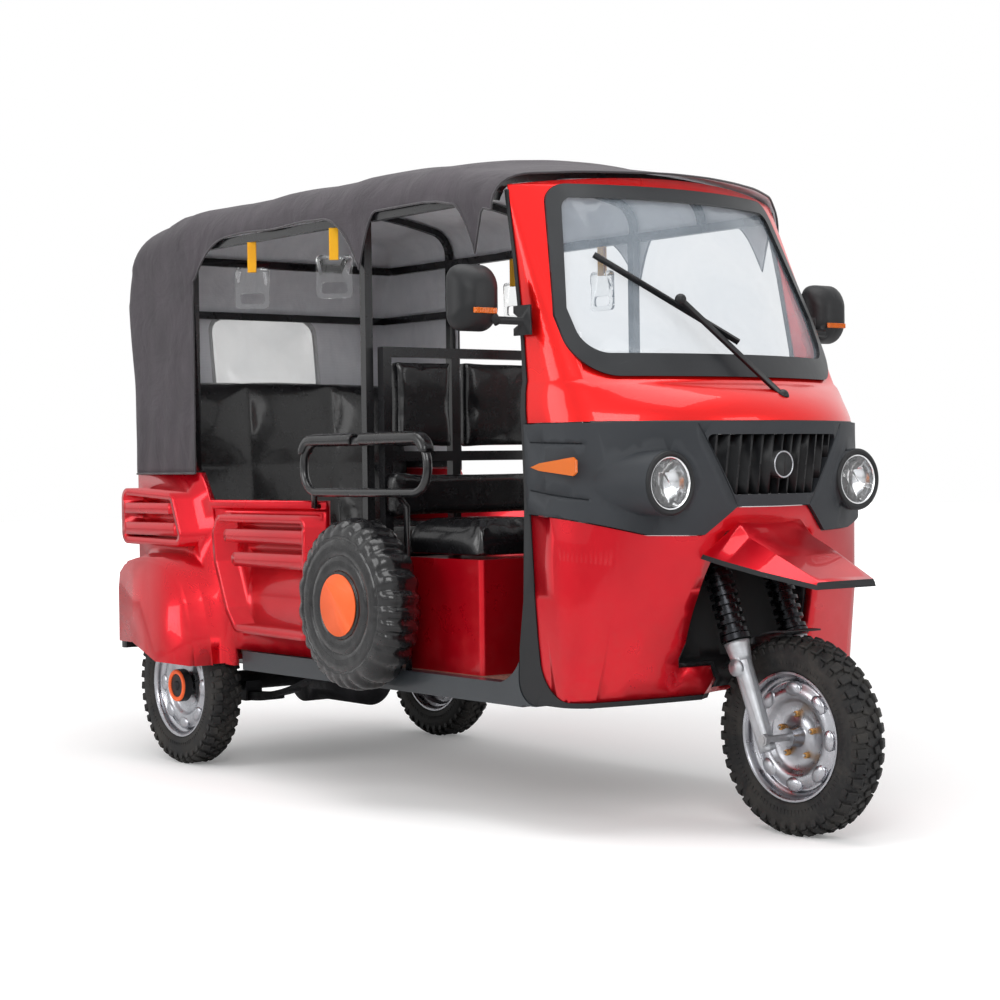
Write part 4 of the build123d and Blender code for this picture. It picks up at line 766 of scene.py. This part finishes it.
bm.faces.new(rings[-1])
bmesh.ops.recalc_face_normals(bm, faces=bm.faces)
bm.to_mesh(mesh)
bm.free()
for polygon in mesh.polygons:
    polygon.use_smooth = len(polygon.vertices) == 4
spareCover = keep(linked("spareCover", mesh), "body", "leather", ("spare_wheel",))
print("spare cover gathered")

# Small pieces start from a primitive, are shaped in edit mode and copied into place
bpy.context.view_layer.update()


def shaped(name, kind, sizes, bevel=0.0, segments=1, **options):
    bpy.ops.object.select_all(action="DESELECT")
    getattr(bpy.ops.mesh, "primitive_" + kind + "_add")(**options)
    piece = bpy.context.object
    piece.name = name
    bpy.ops.object.mode_set(mode="EDIT")
    bpy.ops.mesh.select_all(action="SELECT")
    bpy.ops.transform.resize(value=sizes)
    if bevel:
        bpy.ops.mesh.bevel(offset=bevel, segments=segments, affect="EDGES")
    bpy.ops.object.mode_set(mode="OBJECT")
    return piece


def copied(start, places, name):
    bm = bmesh.new()
    for place in places:
        one = start.data.copy()
        one.transform(place)
        bm.from_mesh(one)
        bpy.data.meshes.remove(one)
    bpy.data.objects.remove(start)
    mesh = bpy.data.meshes.new(name)
    bm.to_mesh(mesh)
    bm.free()
    return linked(name, mesh)


trees = {}


def surfaceAt(node, place, way):
    if node not in trees:
        mesh = nodes[node].data
        corners = [v.co for v in mesh.vertices]
        trees[node] = BVHTree.FromPolygons(corners, [face.vertices for face in mesh.polygons])
    spot = trees[node].ray_cast(Vector(place), Vector(way))[0]
    return spot or Vector(place)


# Wheels: each carcass is cut back and carries raised blocks, sidewall ribs, rim lobes and nuts
carcassCut = {"drop": 0.0065, "from": 0.19, "full": 0.243}
treadLook = {
    # name: size, side and radius, lean, twists, staggers, bevel, count
    "Shoulders": ((0.024, 0.026, 0.011), (0.0345, 0.2415), 30, (8, 8), (0.0, 0.5), 0.0022, 40),
    "SideLugs": ((0.017, 0.006, 0.020), (0.0462, 0.2235), 12, (0, 0), (0.0, 0.5), 0.0016, 40),
    "Blocks": ((0.019, 0.018, 0.0085), (0.0115, 0.2455), 3, (22, -22), (0.3, 0.8), 0.0014, 40),
    "Ribs": ((0.0022, 0.0022, 0.026), (0.0482, 0.196), -4, (0, 0), (0.0, 0.0), 0.0005, 96),
}
rimLook = {
    "lobes": 8, "lobeAt": 0.121, "lobe": (0.027, 0.009, 0.019), "nuts": 5, "nutAt": 0.056, "nutSize": 0.0085,
    "nutDeep": 0.012, "nutOut": 0.005, "studSize": 0.0042, "studDeep": 0.026,
    "capSize": 0.052, "capDeep": 0.03, "capOut": 0.034, "ringSize": 0.044, "ringThick": 0.0075,
    "ringOut": 0.0145,
}
wheels = {
    "front": ("front_tyre", "front_rim", (-1, 1)),
    "rearRight": ("rear_right_tyre", "rear_right_rim", (-1,)),
    "rearLeft": ("rear_left_tyre", "rear_left_rim", (1,)),
}
flatOn = Matrix.Rotation(pi / 2, 4, "X")


def around(hub, count, u, r, lean, twist, stagger):
    stand = Matrix.Translation((0, u, r)) @ Matrix.Rotation(radians(-lean), 4, "X")
    stand = stand @ Matrix.Rotation(radians(twist), 4, "Z")
    turns = [2 * pi * (k + stagger) / count for k in range(count)]
    return [Matrix.Translation(hub) @ Matrix.Rotation(turn, 4, "Y") @ stand for turn in turns]


def onRim(rim, hub, way, reach, turn):
    outside = hub + Vector((cos(turn) * reach, way * 0.2, sin(turn) * reach))
    return surfaceAt(rim, outside, (0, -way, 0))


for name, (tyre, rim, outward) in wheels.items():
    low, high = (Vector(corner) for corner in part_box(tyre))
    hub, body = (low + high) / 2, bodyOf[tyre]
    carcass = mergedCopy(tyre, name + "Carcass")
    for v in carcass.data.vertices:
        away = Vector((v.co.x - hub.x, 0, v.co.z - hub.z))
        reach = away.length
        cut = carcassCut["drop"] * ease(reach, carcassCut["from"], carcassCut["full"])
        away *= -cut / max(reach, 0.001)
        v.co += away
    smoothAngle(carcass, 40)
    keep(carcass, body, "tyre", (tyre,))
    for blocks, (size, (u, r), lean, twists, staggers, bevel, count) in treadLook.items():
        block = shaped("block", "cube", size, bevel, size=1)
        spots = around(hub, count, u, r, lean, twists[0], staggers[0])
        spots += around(hub, count, -u, r, -lean, twists[1], staggers[1])
        keep(copied(block, spots, name + blocks), body, "tyre")
    for way in outward:
        side = "Right" if way < 0 else "Left"
        lobe = shaped("lobe", "uv_sphere", rimLook["lobe"], segments=20, ring_count=10, radius=1)
        turns = [2 * pi * k / rimLook["lobes"] for k in range(rimLook["lobes"])]
        spots = [Matrix.Translation(onRim(rim, hub, way, rimLook["lobeAt"], turn))
                 @ Matrix.Rotation(pi / 2 - turn, 4, "Y") for turn in turns]
        smoothAngle(keep(copied(lobe, spots, name + "Lobes" + side), body, "chrome"), 60)
        if name == "front":
            turns = [2 * pi * k / rimLook["nuts"] + 0.3 for k in range(rimLook["nuts"])]
            lift = Vector((0, way * rimLook["nutOut"], 0))
            spots = [Matrix.Translation(onRim(rim, hub, way, rimLook["nutAt"], turn) + lift) @ flatOn
                     for turn in turns]
            stud = shaped("stud", "cylinder", (1, 1, 1), 0.001, 1, vertices=20, radius=rimLook["studSize"],
                          depth=rimLook["studDeep"])
            keep(copied(stud, spots, name + "Studs" + side), body, "steel")
            nut = shaped("nut", "cylinder", (1, 1, 1), 0.0012, 2, vertices=6, radius=rimLook["nutSize"],
                         depth=rimLook["nutDeep"])
            keep(copied(nut, spots, name + "Nuts" + side), body, "brass")
            continue
        cap = shaped("cap", "cylinder", (1, 1, 1), 0.004, 3, vertices=64, radius=rimLook["capSize"],
                     depth=rimLook["capDeep"])
        face = Matrix.Translation((hub.x, hub.y + way * rimLook["capOut"], hub.z)) @ flatOn
        smoothAngle(keep(copied(cap, [face], name + "HubCap"), body, "blackPlastic"), 35)
        ring = shaped("ring", "torus", (1, 1, 0.8), major_radius=rimLook["ringSize"],
                      minor_radius=rimLook["ringThick"], major_segments=64, minor_segments=12)
        face = Matrix.Translation((0, way * rimLook["ringOut"], 0)) @ face
        smoothAngle(keep(copied(ring, [face], name + "CapRing"), body, "orange"), 60)
print("wheels dressed")

# Nose: lamp bezels, trims, bulbs and collars, the badge's rim and the beak's rubber lip
noseLook = {
    "lampY": 0.337, "lampZ": 0.893, "lampX": 2.107, "bezel": (0.0735, 0.0075), "trim": (0.0635, 0.0018),
    "bulb": 0.0095, "bulbBack": 0.032, "collar": (0.016, 0.014), "badge": (0.0325, 0.0024), "badgeX": 2.166,
    "badgeZ": 0.936,
}
faceOn = Matrix.Rotation(pi / 2, 4, "Y")


def faced(start, place, name, finish):
    piece = keep(copied(start, [Matrix.Translation(place) @ faceOn], name), "body", finish)
    smoothAngle(piece, 60)


def hoop(name, radii, squash, segments):
    return shaped(name, "torus", (1, 1, squash), major_radius=radii[0], minor_radius=radii[1],
                  major_segments=segments[0], minor_segments=segments[1])


for way, side in ((-1, "Right"), (1, "Left")):
    at = Vector((atX(noseLook["lampX"]), way * noseLook["lampY"], noseLook["lampZ"]))
    back = Vector((noseLook["bulbBack"], 0, 0))
    bezel = hoop("bezel", noseLook["bezel"], 0.9, (80, 14))
    faced(bezel, at, "lampBezel" + side, "blackPlastic")
    faced(hoop("trim", noseLook["trim"], 1, (80, 8)), at, "lampTrim" + side, "chrome")
    bulb = shaped("bulb", "uv_sphere", (1, 1, 1.5), segments=24, ring_count=14, radius=noseLook["bulb"])
    faced(bulb, at - back, "lampBulb" + side, "bulb")
    wide, deep = noseLook["collar"]
    collar = shaped("collar", "cylinder", (1, 1, 1), 0.002, 2, vertices=32, radius=wide, depth=deep)
    spot = Matrix.Translation(at - back - Vector((deep, 0, 0))) @ faceOn
    keep(copied(collar, [spot], "bulbCollar" + side), "body", "steel")
badge = hoop("badge", noseLook["badge"], 0.8, (64, 10))
faced(badge, (atX(noseLook["badgeX"]), 0, noseLook["badgeZ"]), "badgeRim", "chrome")
beakLip = {"tilt": 0.55, "turn": -0.2, "from": 2.08}
beak = bpy.data.objects["frontBeakSkin"]
beak.data.materials.append(finishes["rubber"])
for polygon in beak.data.polygons:
    rim = abs(polygon.normal.z) < beakLip["tilt"] and polygon.normal.x > beakLip["turn"]
    if rim and polygon.center.x > atX(beakLip["from"]):
        polygon.material_index = 1
print("nose dressed")

# Painted shade: a black sheet bedded in the shell's wall behind the seam between the hood and the fascia,
# standing in for the shadow in the gap
hoodSeam = {
    "z": 1.0465, "reach": 0.006, "half": 0.47, "steps": 94, "bedded": 0.0042, "thick": 0.0008, "from": 2.6,
    "back": 1.75, "front": 2.3, "step": 0.02,
}
bm = bmesh.new()
last = None
for k in range(hoodSeam["steps"] + 1):
    y = hoodSeam["half"] * (2 * k / hoodSeam["steps"] - 1)
    row = []
    for node, lift in (("nose_fascia", -hoodSeam["reach"]), ("cab_upper", hoodSeam["reach"])):
        spot = surfaceAt(node, (atX(hoodSeam["from"]), y, hoodSeam["z"] + lift), (-1, 0, 0))
        row.append(spot - Vector((hoodSeam["bedded"], 0, 0)))
    back, front = sorted(p.x for p in row)
    if front > atX(hoodSeam["front"]) or back < atX(hoodSeam["back"]) or front - back > hoodSeam["step"]:
        last = None
        continue
    row = [bm.verts.new(p) for p in row]
    if last:
        bm.faces.new((last[0], row[0], row[1], last[1]))
    last = row
mesh = bpy.data.meshes.new("hoodSeal")
bm.to_mesh(mesh)
bm.free()
seamShade = linked("hoodSeal", mesh)
wall = seamShade.modifiers.new("wall", "SOLIDIFY")
wall.thickness, wall.offset = hoodSeam["thick"], 0
applyAll(seamShade)
# the black plastic on this sheet is painted shade in the hood seam's gap
keep(seamShade, "body", "blackPlastic")

# Amber strips let into the front of each mirror's back, with fine ribs
mirrorStrip = {
    "y": 0.636, "z": 1.331, "size": (0.007, 0.072, 0.014), "ribs": 13, "rib": (0.0025, 0.0016, 0.0125),
    "ribOut": 0.0036, "spread": 0.42,
}
for way, side in ((-1, "Right"), (1, "Left")):
    spot = surfaceAt("mirrors", (atX(hoodSeam["from"]), way * mirrorStrip["y"], mirrorStrip["z"]), (-1, 0, 0))
    strip = shaped("strip", "cube", mirrorStrip["size"], 0.002, 3, size=1)
    strip = copied(strip, [Matrix.Translation(spot)], "mirrorStrip" + side)
    keep(strip, "body", "amber")
    rib = shaped("rib", "cube", mirrorStrip["rib"], 0.0004, size=1)
    spread, steps = mirrorStrip["size"][1] * mirrorStrip["spread"], mirrorStrip["ribs"] - 1
    moves = [Vector((mirrorStrip["ribOut"], spread * (2 * k / steps - 1), 0)) for k in range(steps + 1)]
    places = [Matrix.Translation(spot + move) for move in moves]
    keep(copied(rib, places, "mirrorRibs" + side), "body", "bulb")
# the hood seam's black sheet named in this print is painted shade
print("seal and mirror strips added")

# Floor, backdrop and light
studio = {
    "floor": (1.0, 1.0, 1.0), "size": 60, "grey": 0.9, "fade": (1.6, 7.0), "glow": 0.16, "farGlow": 0.75,
    "lit": 0.5, "seen": 1.0,
}
bpy.ops.object.select_all(action="DESELECT")
bpy.ops.mesh.primitive_plane_add(size=studio["size"], location=(0, 0, 0))
floor = bpy.context.object
floor.name = "studioFloor"
f = Finish("studioFloor", studio["floor"])
grey = (studio["grey"],) * 3 + (1,)
plain = f.add("ShaderNodeBsdfPrincipled", None, {"Base Color": grey, "Roughness": 0.9}, "BSDF")
seenDirect = f.add("ShaderNodeLightPath", out="Is Camera Ray")
far = f.fade(f.add("ShaderNodeVectorMath", {"operation": "LENGTH"}, {0: f.place()}, "Value"), *studio["fade"])
glow = f.blend(seenDirect * (far * studio["farGlow"] + studio["glow"]), (0, 0, 0, 1), (1, 1, 1, 1))
f.tree.links.new(glow.socket, plain.socket.node.inputs["Emission Color"])
plain.socket.node.inputs["Emission Strength"].default_value = 1.0
floor.data.materials.append(f.done(plain))

world = bpy.data.worlds.new("studioWorld")
bpy.context.scene.world = world
world.use_nodes = True
tree = world.node_tree
tree.nodes.clear()
rays = tree.nodes.new("ShaderNodeLightPath")
mask = rays.outputs["Is Camera Ray"]
for kind in ("Is Transmission Ray", "Is Glossy Ray"):
    either = tree.nodes.new("ShaderNodeMath")
    either.operation = "MAXIMUM"
    tree.links.new(mask, either.inputs[0])
    tree.links.new(rays.outputs[kind], either.inputs[1])
    mask = either.outputs[0]
mixed = tree.nodes.new("ShaderNodeMixShader")
tree.links.new(mask, mixed.inputs["Fac"])
for slot, level in ((1, studio["lit"]), (2, studio["seen"])):
    back = tree.nodes.new("ShaderNodeBackground")
    back.inputs["Color"].default_value, back.inputs["Strength"].default_value = (1, 1, 1, 1), level
    tree.links.new(back.outputs[0], mixed.inputs[slot])
tree.links.new(mixed.outputs[0], tree.nodes.new("ShaderNodeOutputWorld").inputs["Surface"])

lamps = (
    # name, place, aim, width, height, watts
    ("overhead", (0.6, -0.4, 4.6), (0.2, 0, 0.6), 4.2, 3.0, 130),
    ("frontKey", (4.6, -3.6, 3.4), (0.9, -0.2, 0.9), 2.2, 2.2, 110),
    ("sideFill", (-1.0, -5.2, 2.4), (-0.2, -0.3, 0.8), 3.2, 2.0, 90),
    ("noseFill", (5.2, 1.6, 1.8), (1.2, 0, 0.8), 1.6, 2.2, 45),
)
for name, place, aim, width, height, watts in lamps:
    data = bpy.data.lights.new(name, "AREA")
    data.shape, data.size, data.size_y, data.energy = "RECTANGLE", width, height, watts
    lamp = bpy.data.objects.new(name, data)
    lamp.location = place
    lamp.rotation_euler = (Vector(place) - Vector(aim)).to_track_quat("Z", "Y").to_euler()
    bpy.context.scene.collection.objects.link(lamp)
print("floor and lights placed")

print("done")
